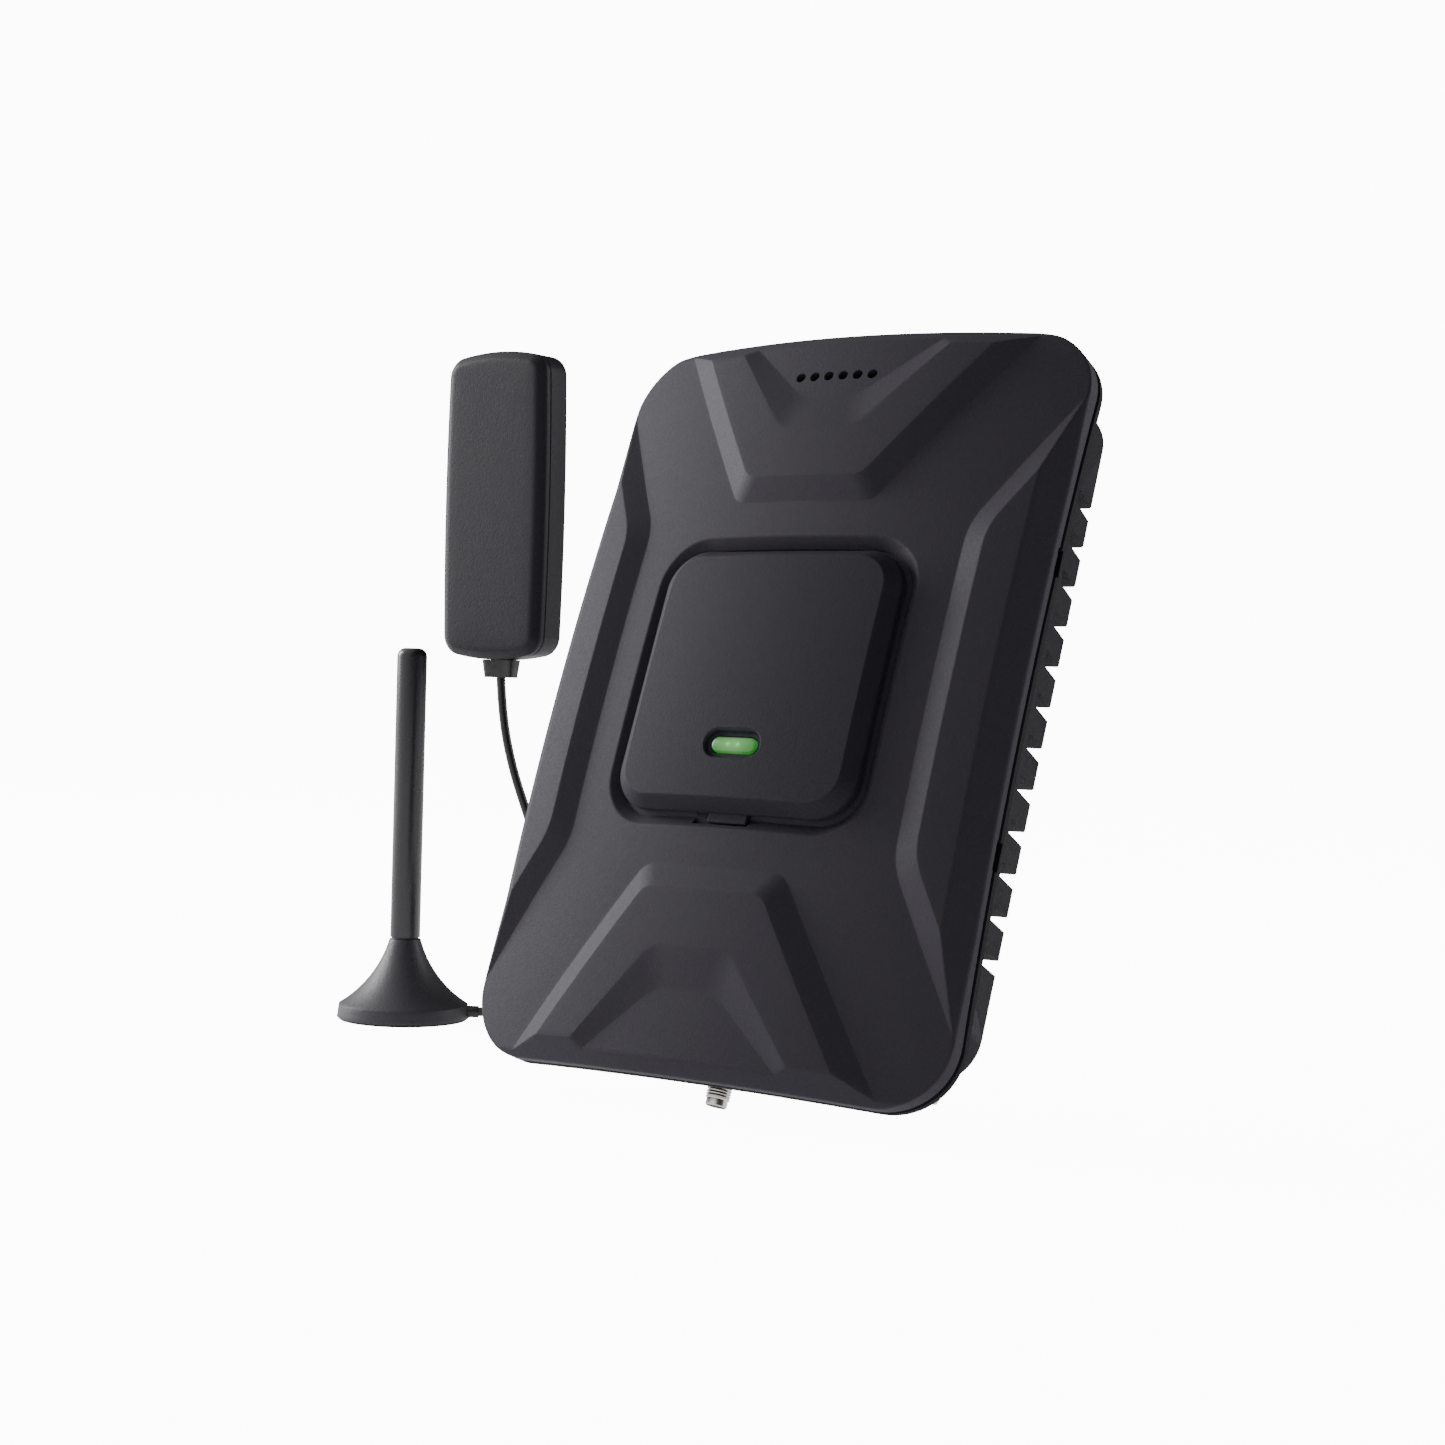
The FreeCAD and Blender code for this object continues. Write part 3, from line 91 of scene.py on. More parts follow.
def blank(name):
    """A material with its Principled shader and the object's own coordinates."""
    material = bpy.data.materials.new(name)
    material.use_nodes = True
    tree = material.node_tree
    shader = tree.nodes["Principled BSDF"]
    place = node(tree, "TexCoord").outputs["Object"]
    return material, tree, shader, place


def noise(tree, place, scale, detail=2.0, roughness=0.5):
    """Soft noise from 0 to 1."""
    made = node(tree, "TexNoise", Vector=place, Scale=scale, Detail=detail, Roughness=roughness)
    return made.outputs["Fac"]


def spread(tree, source, low, high, start=0.3, end=0.7):
    """A source between start and end mapped onto low to high."""
    made = node(tree, "MapRange", Value=source, From_Min=start, From_Max=end, To_Min=low, To_Max=high)
    return made.outputs["Result"]


def two_tone(tree, factor, first, second):
    """A colour between first and second, by a factor."""
    mixed = tree.nodes.new("ShaderNodeMix")
    mixed.data_type = "RGBA"
    tree.links.new(factor, mixed.inputs["Factor"])
    mixed.inputs["A"].default_value = (*first, 1)
    mixed.inputs["B"].default_value = (*second, 1)
    return mixed.outputs["Result"]


def larger(tree, first, second):
    """The larger of two sources."""
    made = node(tree, "Math")
    made.operation = "MAXIMUM"
    tree.links.new(first, made.inputs[0])
    tree.links.new(second, made.inputs[1])
    return made.outputs["Value"]


def bump(tree, height, distance, strength=1.0, below=None):
    """A bumped normal, on top of another where one is given."""
    made = node(tree, "Bump", Height=height, Distance=distance, Strength=strength)
    if below is not None:
        tree.links.new(below, made.inputs["Normal"])
    return made.outputs["Normal"]


def moulded(name, color, roughness, grain=2600, depth=0.03 * MM, specular=0.5):
    """Moulded plastic, paint or rubber with a fine even grain and slight drifts of tone and gloss."""
    material, tree, shader, place = blank(name)
    fine = noise(tree, place, grain, 3, 0.6)
    drift = noise(tree, place, 18, 3, 0.5)
    darker = [channel * 0.88 for channel in color]
    lighter = [channel * 1.12 for channel in color]
    tree.links.new(two_tone(tree, drift, darker, lighter), shader.inputs["Base Color"])
    tree.links.new(spread(tree, fine, roughness - 0.06, roughness + 0.06), shader.inputs["Roughness"])
    tree.links.new(bump(tree, fine, depth), shader.inputs["Normal"])
    shader.inputs["Specular IOR Level"].default_value = specular
    return material


def plated(name, color, roughness, scratch=0.06):
    """Plated or turned metal with faint drawn marks."""
    material, tree, shader, place = blank(name)
    drawn = node(tree, "Mapping", Vector=place, Scale=(400, 400, 4000)).outputs["Vector"]
    marks = noise(tree, drawn, 1.0, 2)
    worn = noise(tree, place, 160, 3)
    tree.links.new(two_tone(tree, worn, [c * 0.85 for c in color], color), shader.inputs["Base Color"])
    tree.links.new(spread(tree, marks, roughness, roughness + scratch), shader.inputs["Roughness"])
    tree.links.new(bump(tree, marks, 0.004 * MM), shader.inputs["Normal"])
    shader.inputs["Metallic"].default_value = 1
    return material


def woven(name, color):
    """A narrow woven strap."""
    material, tree, shader, place = blank(name)
    waves = []
    for direction in ("X", "Z"):
        wave = node(tree, "TexWave", Vector=place, Scale=420, Distortion=0.4)
        wave.bands_direction = direction
        waves.append(wave.outputs["Fac"])
    height = larger(tree, *waves)
    # colour follows the weave's height: painted shade in the hollows between threads and a painted
    # highlight on their crests
    tree.links.new(two_tone(tree, height, [c * 0.5 for c in color], [c * 1.6 for c in color]),
                   shader.inputs["Base Color"])
    tree.links.new(bump(tree, height, 0.12 * MM), shader.inputs["Normal"])
    shader.inputs["Roughness"].default_value = 0.85
    shader.inputs["Sheen Weight"].default_value = 0.2
    return material


def lit_lens(name, middle, half_length):
    """Green lens lit from within: whitish along its middle and saturated at its rim and ends."""
    material, tree, shader, place = blank(name)
    local = node(tree, "VectorMath", Vector=place)
    local.operation = "SUBTRACT"
    local.inputs[1].default_value = middle
    scaled = node(tree, "VectorMath", Vector=local.outputs["Vector"])
    scaled.operation = "MULTIPLY"
    scaled.inputs[1].default_value = [1 / size for size in half_length]
    reach = node(tree, "VectorMath", Vector=scaled.outputs["Vector"])
    reach.operation = "LENGTH"
    cloud = noise(tree, place, 420, 2)
    level = node(tree, "Math", Value=reach.outputs["Value"])
    level.operation = "ADD"
    tree.links.new(spread(tree, cloud, -0.08, 0.08), level.inputs[1])
    ramp = node(tree, "ValToRGB", Fac=level.outputs["Value"])
    ramp.color_ramp.elements[0].position = 0.1
    ramp.color_ramp.elements[0].color = (0.30, 0.76, 0.24, 1)
    ramp.color_ramp.elements[1].position = 0.95
    ramp.color_ramp.elements[1].color = (0.012, 0.32, 0.022, 1)
    tree.links.new(ramp.outputs["Color"], shader.inputs["Emission Color"])
    shader.inputs["Base Color"].default_value = (0.01, 0.08, 0.015, 1)
    shader.inputs["Emission Strength"].default_value = 0.55
    shader.inputs["Roughness"].default_value = 0.25
    return material


def make_materials():
    """One material for each of the record's slots."""
    return {
        "cover_plastic": moulded("cover plastic", (0.050, 0.0455, 0.059), 0.6, 2000, 0.07 * MM,
                                 specular=0.15),
        "badge_plastic": moulded("badge plastic", (0.034, 0.031, 0.042), 0.55, 2000, 0.07 * MM,
                                 specular=0.12),
        "chip_plastic": moulded("chip plastic", (0.02, 0.02, 0.02), 0.6),
        "seal_rubber": moulded("seal rubber", (0.008, 0.008, 0.008), 0.75),
        "chassis_paint": moulded("chassis paint", (0.024, 0.022, 0.028), 0.6, 1500, 0.08 * MM,
                                 specular=0.06),
        "steel_screw": plated("black oxide steel", (0.09, 0.09, 0.095), 0.35),
        "board_green": moulded("solder mask", (0.01, 0.09, 0.03), 0.3, grain=400, depth=0.01 * MM),
        "shield_tin": plated("tinned steel", (0.72, 0.72, 0.70), 0.3),
        "thermal_grey": moulded("thermal cushion", (0.42, 0.45, 0.5), 0.8),
        "port_plating": plated("nickel plating", (0.80, 0.78, 0.76), 0.16),
        "insulator_white": moulded("insulator", (0.78, 0.78, 0.74), 0.4, grain=900, depth=0.01 * MM),
        "contact_gold": plated("gold plating", (0.85, 0.62, 0.25), 0.2),
        "socket_plastic": moulded("socket plastic", (0.015, 0.015, 0.016), 0.4),
        "panel_plastic": moulded("panel plastic", (0.022, 0.0200, 0.027), 0.5, 1700, 0.08 * MM,
                                 specular=0.2),
        "adhesive_foam": moulded("adhesive liner", (0.62, 0.62, 0.58), 0.7, grain=700, depth=0.04 * MM),
        "mast_plastic": moulded("mast plastic", (0.022, 0.020, 0.026), 0.32, grain=1800, depth=0.012 * MM),
        "base_plastic": moulded("base plastic", (0.036, 0.033, 0.042), 0.50, grain=1300, depth=0.08 * MM),
        "steel_plate": plated("zinc plating", (0.62, 0.62, 0.64), 0.35),
        "magnet_grey": plated("magnet", (0.2, 0.2, 0.21), 0.5),
        "foot_rubber": moulded("foot rubber", (0.014, 0.014, 0.015), 0.8),
        "lead_jacket": moulded("lead jacket", (0.012, 0.012, 0.013), 0.38, grain=900, depth=0.01 * MM),
        "tie_fabric": woven("tie strap", (0.02, 0.02, 0.022)),
        "lamp_lens": lit_lens("lamp lens", BOOSTER @ (Vector((*LAMP, 13.6)) * MM),
                              (8.2 * MM, 4 * MM, 3.4 * MM)),
    }


SOFT_EDGES = {"finned_chassis": 0.7, "mast_sleeve": 0.3,
              "magnet_base_cover": 0.4, "outside_port_nut": 0.3, "inside_port_nut": 0.3,
              "outside_plug_nut": 0.4, "inside_plug_nut": 0.4, "inside_strain_relief": 0.3,
              "outside_strain_relief": 0.3}


def dress_nodes(materials):
    """Give every CAD node the material of its slot, and round the edges of the moulded and turned ones."""
    for name, item in frame["nodes"].items():
        slot = next(part["material_slot"] for part in frame["record"]["subparts"] if part["node"] == name)
        item.data.materials.clear()
        item.data.materials.append(materials[slot])
    for name, width in SOFT_EDGES.items():
        soften(frame["nodes"][name], width)


# ---------------------------------------------------------------- pieces
def finish_piece(item, slot, body="set", replaced=()):
    """Dress a piece, put it on its body and hide what it stands for."""
    item.data.materials.append(MATERIALS[slot])
    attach(item, body)
    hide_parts(*replaced)
    return item


def mesh_piece(name, vertices, faces, transform=Matrix.Identity(4), crease=35):
    """A smooth-shaded mesh object; edges sharper than the crease angle stay sharp."""
    mesh = bpy.data.meshes.new(name)
    mesh.from_pydata([list(v) for v in vertices], [], faces)
    mesh.validate()
    mesh.transform(transform)
    made = bmesh.new()
    made.from_mesh(mesh)
    bmesh.ops.remove_doubles(made, verts=made.verts, dist=0.0001 * MM)
    bmesh.ops.recalc_face_normals(made, faces=made.faces)
    made.to_mesh(mesh)
    made.free()
    return placed(name, mesh, crease)


def placed(name, mesh, crease=35):
    """Put a mesh in the scene as a smooth-shaded object."""
    for polygon in mesh.polygons:
        polygon.use_smooth = True
    mesh.set_sharp_from_angle(angle=math.radians(crease))
    item = bpy.data.objects.new(name, mesh)
    bpy.context.scene.collection.objects.link(item)
    return item


def soften(item, width, steepest=40):
    """Round an item's edges; the modifier stays on the item, so its own mesh is untouched."""
    weld = item.modifiers.new("weld", "WELD")
    weld.merge_threshold = 0.001 * MM
    bevel = item.modifiers.new("round edges", "BEVEL")
    bevel.width = width * MM
    bevel.segments = 3
    bevel.limit_method = "ANGLE"
    bevel.angle_limit = math.radians(steepest)
    bevel.harden_normals = True


def cut_out(item, cutters, crease=35):
    """Subtract a set of closed cutter meshes, given as (vertices, faces) in metres, from an item."""
    mesh = bpy.data.meshes.new("cutters")
    vertices = []
    faces = []
    for more_vertices, more_faces in cutters:
        faces += [[index + len(vertices) for index in face] for face in more_faces]
        vertices += more_vertices
    mesh.from_pydata([list(v) for v in vertices], [], faces)
    tool = bpy.data.objects.new("cutters", mesh)
    bpy.context.scene.collection.objects.link(tool)
    modifier = item.modifiers.new("cut", "BOOLEAN")
    modifier.operation = "DIFFERENCE"
    modifier.solver = "EXACT"
    modifier.object = tool
    result = bpy.data.meshes.new_from_object(item.evaluated_get(bpy.context.evaluated_depsgraph_get()))
    item.modifiers.clear()
    item.data = result
    bpy.data.objects.remove(tool)
    for polygon in result.polygons:
        polygon.use_smooth = True
    result.set_sharp_from_angle(angle=math.radians(crease))


def prism(outline, low, high, top=None):
    """A closed prism in the booster's axes, from an outline of (x, y) points up to it or to a top one."""
    count = len(outline)
    vertices = [BOOSTER @ (Vector((x, y, z)) * MM)
                for z, points in ((low, outline), (high, top or outline)) for x, y in points]
    faces = [list(range(count))[::-1], list(range(count, 2 * count))]
    faces += [[i, (i + 1) % count, count + (i + 1) % count, count + i] for i in range(count)]
    return vertices, faces


def circle(x, y, radius, count=60):
    angles = [math.tau * n / count for n in range(count)]
    return [(x + radius * math.cos(a), y + radius * math.sin(a)) for a in angles]


def rectangle(x, y, width, height):
    return [(x + sx * width / 2, y + sy * height / 2) for sx, sy in CORNERS]


def capsule(x, y, width, height, count=24):
    """A slot with half-round ends, long in x."""
    reach = (width - height) / 2
    turn = [math.pi * (n / count - 0.5) for n in range(count + 1)]
    right = [(x + reach + height / 2 * math.cos(a), y + height / 2 * math.sin(a)) for a in turn]
    return right + [(2 * x - px, 2 * y - py) for px, py in right]


# ---------------------------------------------------------------- rounded-rectangle rings
RING_PARTS = (64, 24, 48)


def ring(half_x, half_y, radius):
    """Points round a rounded rectangle, anticlockwise from the middle of its right side."""
    side, arc, end = RING_PARTS
    cx, cy = half_x - radius, half_y - radius
    quarter = [(half_x, cy * n / side) for n in range(side)]
    bend = [math.pi / 2 * n / arc for n in range(arc)]
    quarter += [(cx + radius * math.cos(a), cy + radius * math.sin(a)) for a in bend]
    quarter += [(cx * (1 - n / end), half_y) for n in range(end)]
    quarter.append((0, half_y))
    half = quarter + [(-x, y) for x, y in quarter[-2:0:-1]]
    half.append((-half_x, 0))
    return np.array(half + [(x, -y) for x, y in half[-2:0:-1]])


def stack(rings, close_first=True, close_last=True):
    """Vertices and faces that join rings of equal length; each end is closed to a middle point."""
    count = len(rings[0])
    vertices = [tuple(point) for points in rings for point in points]
    faces = []
    for level in range(len(rings) - 1):
        a, b = level * count, (level + 1) * count
        faces += [[a + i, a + (i + 1) % count, b + (i + 1) % count, b + i] for i in range(count)]
    for wanted, level in ((close_first, 0), (close_last, len(rings) - 1)):
        if not wanted:
            continue
        middle = np.mean(rings[level], axis=0)
        vertices.append(tuple(middle))
        start = level * count
        faces += [[start + i, start + (i + 1) % count, len(vertices) - 1] for i in range(count)]
    return vertices, faces


def lifted(points, height):
    """A ring with its heights, one number or one for each point."""
    return np.column_stack([points, np.broadcast_to(height, len(points))])


def sag(x, y):
    """How far every dome of the booster falls away from its crown."""
    return x ** 2 / 600 + y ** 2 / 1700


# ---------------------------------------------------------------- front cover
COVER_HALF = (70, 101.6, 18)
MOAT_HALF = (38.4, 39.4, 13.5)
FIELD, MOAT, CAVITY, SEAL = 11.1, 9.4, 7.6, 6.5
RIDGE_RISE, RIDGE_FLANK, RECESS_DROP = 2.9, 6.3, 1.6
CREASE = 0.2            # half the width over which a crease is rounded
CORNER_BLEND = 2.5      # the same for the corners of the foot lines
CHANNEL_DROP = 1.1      # the groove beside the badge, below the moat's floor
# foot lines of the relief in the first quadrant, each from its inner to its outer end
END_FOOT = ((20.6, 50), (54.3, 100.8))
SIDE_FOOT = ((48.2, 44.5), (70, 83.6))
RECESS_BROW = ((11.5, 71), (32, 96.1))
RECESS_FLOOR = ((8.6, 81), (29.1, 98.6))


def soft_min(a, b, width):
    """The smaller of two values, with the corner between them rounded over a width."""
    blend = np.maximum(width - np.abs(a - b), 0) / width
    return np.minimum(a, b) - blend ** 2 * width / 4


def soft_ramp(value, half):
    """0 below 0 and value above it, with the corner rounded over half on each side."""
    value = np.asarray(value, float)
    return np.where(value < -half, 0, np.where(value > half, value, (value + half) ** 2 / (4 * half)))


def soft_step(value, length, half):
    """Rises from 0 at 0 to 1 at length, with both corners rounded."""
    return (soft_ramp(value, half) - soft_ramp(value - length, half)) / length


def inside(x, y, start, end):
    """Distance to the left of the line from start to end."""
    dx, dy = end[0] - start[0], end[1] - start[1]
    return ((y - start[1]) * dx - (x - start[0]) * dy) / math.hypot(dx, dy)


def relief_parts(x, y):
    """The distances that shape the relief, each zero on one of its foot lines, and its bare top."""
    x, y = np.abs(x), np.abs(y)
    end_in = soft_min(y - END_FOOT[0][1], inside(x, y, *END_FOOT), CORNER_BLEND)
    brow = inside(x, y, *RECESS_BROW)
    floor = inside(x, y, *RECESS_FLOOR)
    into_recess = (y - RECESS_BROW[0][1]) / (RECESS_FLOOR[0][1] - RECESS_BROW[0][1])
    recess_in = soft_min(into_recess, brow / np.maximum(brow - floor, 0.5), 0.25)
    side_in = soft_min(x - SIDE_FOOT[0][0], -inside(x, y, *SIDE_FOOT), CORNER_BLEND)
    end_block = soft_step(end_in, RIDGE_FLANK, CREASE)
    side_block = soft_step(side_in, RIDGE_FLANK, CREASE)
    recess = soft_step(recess_in, 1, CREASE / RIDGE_FLANK)
    top = FIELD - sag(x, y) + RIDGE_RISE * (end_block + side_block) - RECESS_DROP * recess * end_block
    end_bevel = 3.9 + 0.836 * (COVER_HALF[1] - y) - x ** 2 / 600
    side_rim = 0.9 - np.minimum(y, 60) ** 2 / 1700 - 0.0077 * np.maximum(y - 60, 0)
    side_bevel = side_rim + 1.06 * (COVER_HALF[0] - x)
    return end_in, recess_in, side_in, top, end_bevel, side_bevel


def cover_height(x, y):
    """Height of the cover's relief: a domed field, raised end and side blocks, and rim bevels."""
    *_, top, end_bevel, side_bevel = relief_parts(x, y)
    return soft_min(soft_min(top, end_bevel, 2 * CREASE), side_bevel, 2 * CREASE)


def crease_lines(x, y):
    """Functions of a place on the cover that are zero along the creases of its relief."""
    end_in, recess_in, side_in, top, end_bevel, side_bevel = relief_parts(x, y)
    return [end_in, end_in - RIDGE_FLANK, side_in, side_in - RIDGE_FLANK, recess_in, recess_in - 1,
            top - end_bevel, np.minimum(top, end_bevel) - side_bevel]


def onto_creases(grid):
    """Slide the points of a (ring, place, xy) grid that lie beside a crease onto it."""
    delta = 0.01
    across = np.abs(np.gradient(grid, axis=0))
    along = np.abs(np.roll(grid, -1, axis=1) - np.roll(grid, 1, axis=1)) / 2
    for which in range(8):
        x, y = grid[..., 0], grid[..., 1]
        here = crease_lines(x, y)[which]
        beside = crease_lines(x + delta, y)[which]
        above = crease_lines(x, y + delta)[which]
        slope = np.stack([beside - here, above - here], axis=-1) / delta
        steep = np.maximum(np.linalg.norm(slope, axis=-1), 1e-6)
        away = here / steep
        normal = slope / steep[..., None]
        reach = np.maximum((across * np.abs(normal)).sum(-1), (along * np.abs(normal)).sum(-1)) / 2
        near = np.abs(away) < reach
        near[[0, -1]] = False
        grid = np.where(near[..., None], grid - away[..., None] * normal, grid)
    return grid


def split_relief(vertices, faces, start, stop):
    """Split the relief's four-sided faces along the diagonal that lies nearer to the true surface."""
    quads = np.array(faces[start:stop])
    corners = np.array(vertices)[quads]
    off = []
    for first, second in ((0, 2), (1, 3)):
        middle = (corners[:, first] + corners[:, second]) / 2
        off.append(np.abs(cover_height(middle[:, 0], middle[:, 1]) - middle[:, 2]))
    straight = off[0] <= off[1]
    split = [[quad[n] for n in order] for quad, even in zip(quads.tolist(), straight)
             for order in (((0, 1, 2), (0, 2, 3)) if even else ((0, 1, 3), (1, 2, 3)))]
    return faces[:start] + split + faces[stop:]


def between(first, last, share):
    """A ring part of the way from one rounded rectangle to another."""
    return ring(*[a + (b - a) * share for a, b in zip(first, last)])


def inset(half, distance):
    """A ring a distance inside a rounded rectangle."""
    return ring(half[0] - distance, half[1] - distance, half[2] - distance)


def make_cover():
    """The front cover: one closed shell built ring by ring outwards, then its holes."""
    rings = []
    # seat under the badge, then a narrow channel beside the badge
    gap_inside, gap_outside = (36.0, 36.7, 11.3), (36.25, 37.0, 11.5)
    for share in (0.06, 0.15, 0.3, 0.45, 0.6, 0.75, 0.88, 0.96):
        points = ring(*[size * share for size in (35.2, 35.7, 10.9)])
        rings.append(lifted(points, MOAT - sag(*points.T)))
    for half in (gap_inside, gap_outside):
        points = ring(*half)
        rings.append(lifted(points, MOAT - CHANNEL_DROP - sag(*points.T)))
    # the moat's outer wall slopes up to a slightly rounded edge on the field
    start = [size + 0.9 for size in MOAT_HALF]
    edge = cover_height(*ring(*start).T)
    for share in (0, 0.2, 0.4, 0.6, 0.74, 0.77, 0.8, 0.83, 0.86, 0.89, 0.92, 0.95, 0.98, 1):
        drop = 2.6 * soft_ramp(0.87 - share, 0.11)
        rings.append(lifted(between(gap_outside, start, share), edge - drop))
    # relief from the moat's edge to just inside the rim
    last = 0.5
    steps = 104
    rim = [size - last for size in COVER_HALF]
    grid = onto_creases(np.array([between(start, rim, step / steps) for step in range(steps + 1)]))
    relief_start = (len(rings) - 1) * len(edge)
    rings += [lifted(points, cover_height(*points.T)) for points in grid[1:]]
    # rounded rim, side wall and lower edge
    outline = ring(*COVER_HALF)
    near, far = rings[-1][:, 2], cover_height(*outline.T)
    for share in np.arange(0.1, 1.01, 0.1):
        points = inset(COVER_HALF, last * (1 - share) ** 2)
        height = near * (1 - share) ** 2 + 2 * share * (1 - share) * far + share ** 2 * (far - last)
        rings.append(lifted(points, height))
    lower = SEAL - sag(*outline.T)
    rings.append(lifted(outline, lower + 0.35))
    for depth, height in ((0.1, 0.1), (0.35, 0), (2.2, 0)):
        points = inset(COVER_HALF, depth)
        rings.append(lifted(points, SEAL - sag(*points.T) + height))
    # underside
    wall = [size - 2.2 for size in COVER_HALF]
    for share in (1, 0.8, 0.6, 0.4, 0.2, 0.05):
        points = ring(*[size * share for size in wall])
        rings.append(lifted(points, CAVITY - sag(*points.T)))
    vertices, faces = stack(rings)
    faces = split_relief(vertices, faces, relief_start, relief_start + steps * len(edge))
    item = mesh_piece("front_cover_shell", np.array(vertices) * MM, faces, BOOSTER, 8)
    cutters = [prism(circle((n - 2.5) * 4.4, 87.5, 1.4), -2, 20) for n in range(6)]
    cutters.append(prism(capsule(*LAMP, 13.7, 4.3), -2, 20))
    cutters.append(prism(rectangle(-1.5, -37.1, 16.4, 3.4), 7.5, 12))
    for sx, sy in CORNERS:
        cutters.append(prism(circle(sx * 24, sy * 26, 1.55, 24), 0, 20))
        cutters.append(prism(rectangle(sx * 70, sy * 38, 3.2, 7.2), -4.6, -1.7))
    cut_out(item, cutters, 8)
    finish_piece(item, "cover_plastic", replaced=["front_cover"])


# ---------------------------------------------------------------- badge panel
def make_badge():
    """The removable badge: skirt, sloping band, domed face, lamp window and latch tab."""
    skirt = (35.4, 35.9, 11)
    brow = (32.2, 33.1, 8.5)
    crown = 14.5
    shoulder = 9.3
    edge = 0.3
    rings = []
    for depth, height in ((0.3, 0.05), (0, 0.35)):
        points = inset(skirt, depth)
        rings.append(lifted(points, MOAT - sag(*points.T) + height))
    # skirt and the sloping band above it
    rings.append(lifted(ring(*skirt), shoulder - edge))
    brow_height = crown - sag(*ring(*brow).T) - edge / 2
    for share in (0.05, 0.1, 0.4, 0.7, 0.95, 1):
        points = between(skirt, brow, share)
        rings.append(lifted(points, shoulder + share * (brow_height - shoulder)))
    # domed face
    face = [size - edge for size in brow]
    for share in (1, 0.96, 0.85, 0.7, 0.55, 0.4, 0.25, 0.1):
        points = ring(*[size * share for size in face])
        rings.append(lifted(points, crown - sag(*points.T)))
    vertices, faces = stack(rings)
    item = mesh_piece("badge_shell", np.array(vertices) * MM, faces, BOOSTER, 18)
    cut_out(item, [prism(capsule(*LAMP, 16.4, 7.2), 12.9, 20)], 18)
    cut_out(item, [prism(capsule(*LAMP, 16, 6.8), 13.6, 16, capsule(*LAMP, 20.8, 11.6))], 18)
    cut_out(item, [prism(capsule(*LAMP, 14.1, 4.7), 0, 20)], 18)
    finish_piece(item, "badge_plastic", "badge", ["badge_panel"])
    vertices, faces = prism(rectangle(0.5, -36.9, 11.6, 2.8), 7.9, 9.1)
    tab = mesh_piece("badge_latch_tab", vertices, faces)
    soften(tab, 0.4)
    finish_piece(tab, "badge_plastic", "badge")


def make_lens():
    """The end of the light pipe, rounded at its rim, down in the badge's window."""
    rings = []
    for depth, height in ((0, 6), (0, 12.8), (0.1, 13.2), (0.4, 13.5), (0.9, 13.65)):
        outline = np.array(capsule(*LAMP, 13.3 - 2 * depth, 4 - 2 * depth))
        rings.append(lifted(outline, height))
    vertices, faces = stack(rings)
    lens = mesh_piece("light_pipe_lens", np.array(vertices) * MM, faces, BOOSTER)
    finish_piece(lens, "lamp_lens", replaced=["light_pipe"])


# ---------------------------------------------------------------- turned parts
def turned(name, profile, transform, parts=64, crease=30):
    """A closed turned piece from an open or closed run of (radius, height) points."""
    angles = [math.tau * n / parts for n in range(parts)]
    rings = [[(radius * math.cos(a), radius * math.sin(a), height) for a in angles]
             for radius, height in profile]
    closed = profile[0] == profile[-1]
    vertices, faces = stack(rings, not closed, not closed)
    return mesh_piece(name, np.array(vertices) * MM, faces, transform, crease)


def threaded_profile(radius, depth, low, high, pitch):
    """Crests and roots of a thread between two heights."""
    count = int((high - low) / pitch)
    profile = []
    for n in range(count):
        start = low + n * pitch
        profile += [(radius - depth, start), (radius - depth * 0.1, start + 0.42 * pitch),
                    (radius - depth * 0.1, start + 0.58 * pitch)]
    return profile + [(radius - depth, low + count * pitch)]


def make_ports():
    """The two threaded barrels, one through each end wall of the chassis."""
    for side, x, sign in (("outside", 3, -1), ("inside", -6, 1)):
        wall = BOOSTER @ Matrix.Translation(Vector((x, sign * 86, -12)) * MM)
        along = wall @ Matrix.Rotation(math.radians(-90 * sign), 4, "X")
        profile = [(2.3, 18.7), (2.3, -8), (3, -8), (3, -2.5), (4.6, -2.5), (4.6, 0)]
        profile += threaded_profile(3.175, 0.45, 0, 17.3, 0.706)
        profile += [(2.72, 18.5), (2.5, 18.7), (2.3, 18.7)]
        barrel = turned(f"{side}_threaded_port", profile, along, 48, 20)
        finish_piece(barrel, "port_plating", replaced=[f"{side}_port_barrel"])


# ---------------------------------------------------------------- inside antenna
def bowed(half_x, half_y, radius, depth):
    """A rounded rectangle whose sides and ends bow outwards, drawn in by a depth."""
    x, y = ring(half_x - depth, half_y - depth, max(radius - depth * 0.8, 0.8)).T
    return np.column_stack([x * (1 - 0.045 * (y / half_y) ** 2), y * (1 - 0.052 * (x / half_x) ** 2)])


def make_panel():
    """Front and back halves of the flat antenna box, meeting in a fine groove."""
    upright = Matrix(((1, 0, 0, -85.7 * MM), (0, 0, 1, 0), (0, 1, 0, 157.7 * MM), (0, 0, 0, 1)))
    front = [(0.6, 42.9), (0.15, 42.8), (0, 42.6), (0, 41.3), (0.1, 40.9), (0.4, 40.5), (2.1, 39.15),
             (2.5, 38.9), (3, 38.75), (4, 38.68), (7, 38.64), (12, 38.6)]
    back = [(0.6, 42.9), (0.15, 43), (0, 43.2), (0, 50.2), (0.15, 50.8), (0.55, 51.3),
            (1.2, 51.5), (9, 51.5)]
    for name, profile in (("front", front), ("back", back)):
        rings = [lifted(bowed(19.75, 47.2, 5, depth), height) for depth, height in profile]
        vertices, faces = stack(rings)
        half = mesh_piece(f"panel_{name}_half", np.array(vertices) * MM, faces, upright, 25)
        finish_piece(half, "panel_plastic", replaced=[f"inside_{name}_shell"])


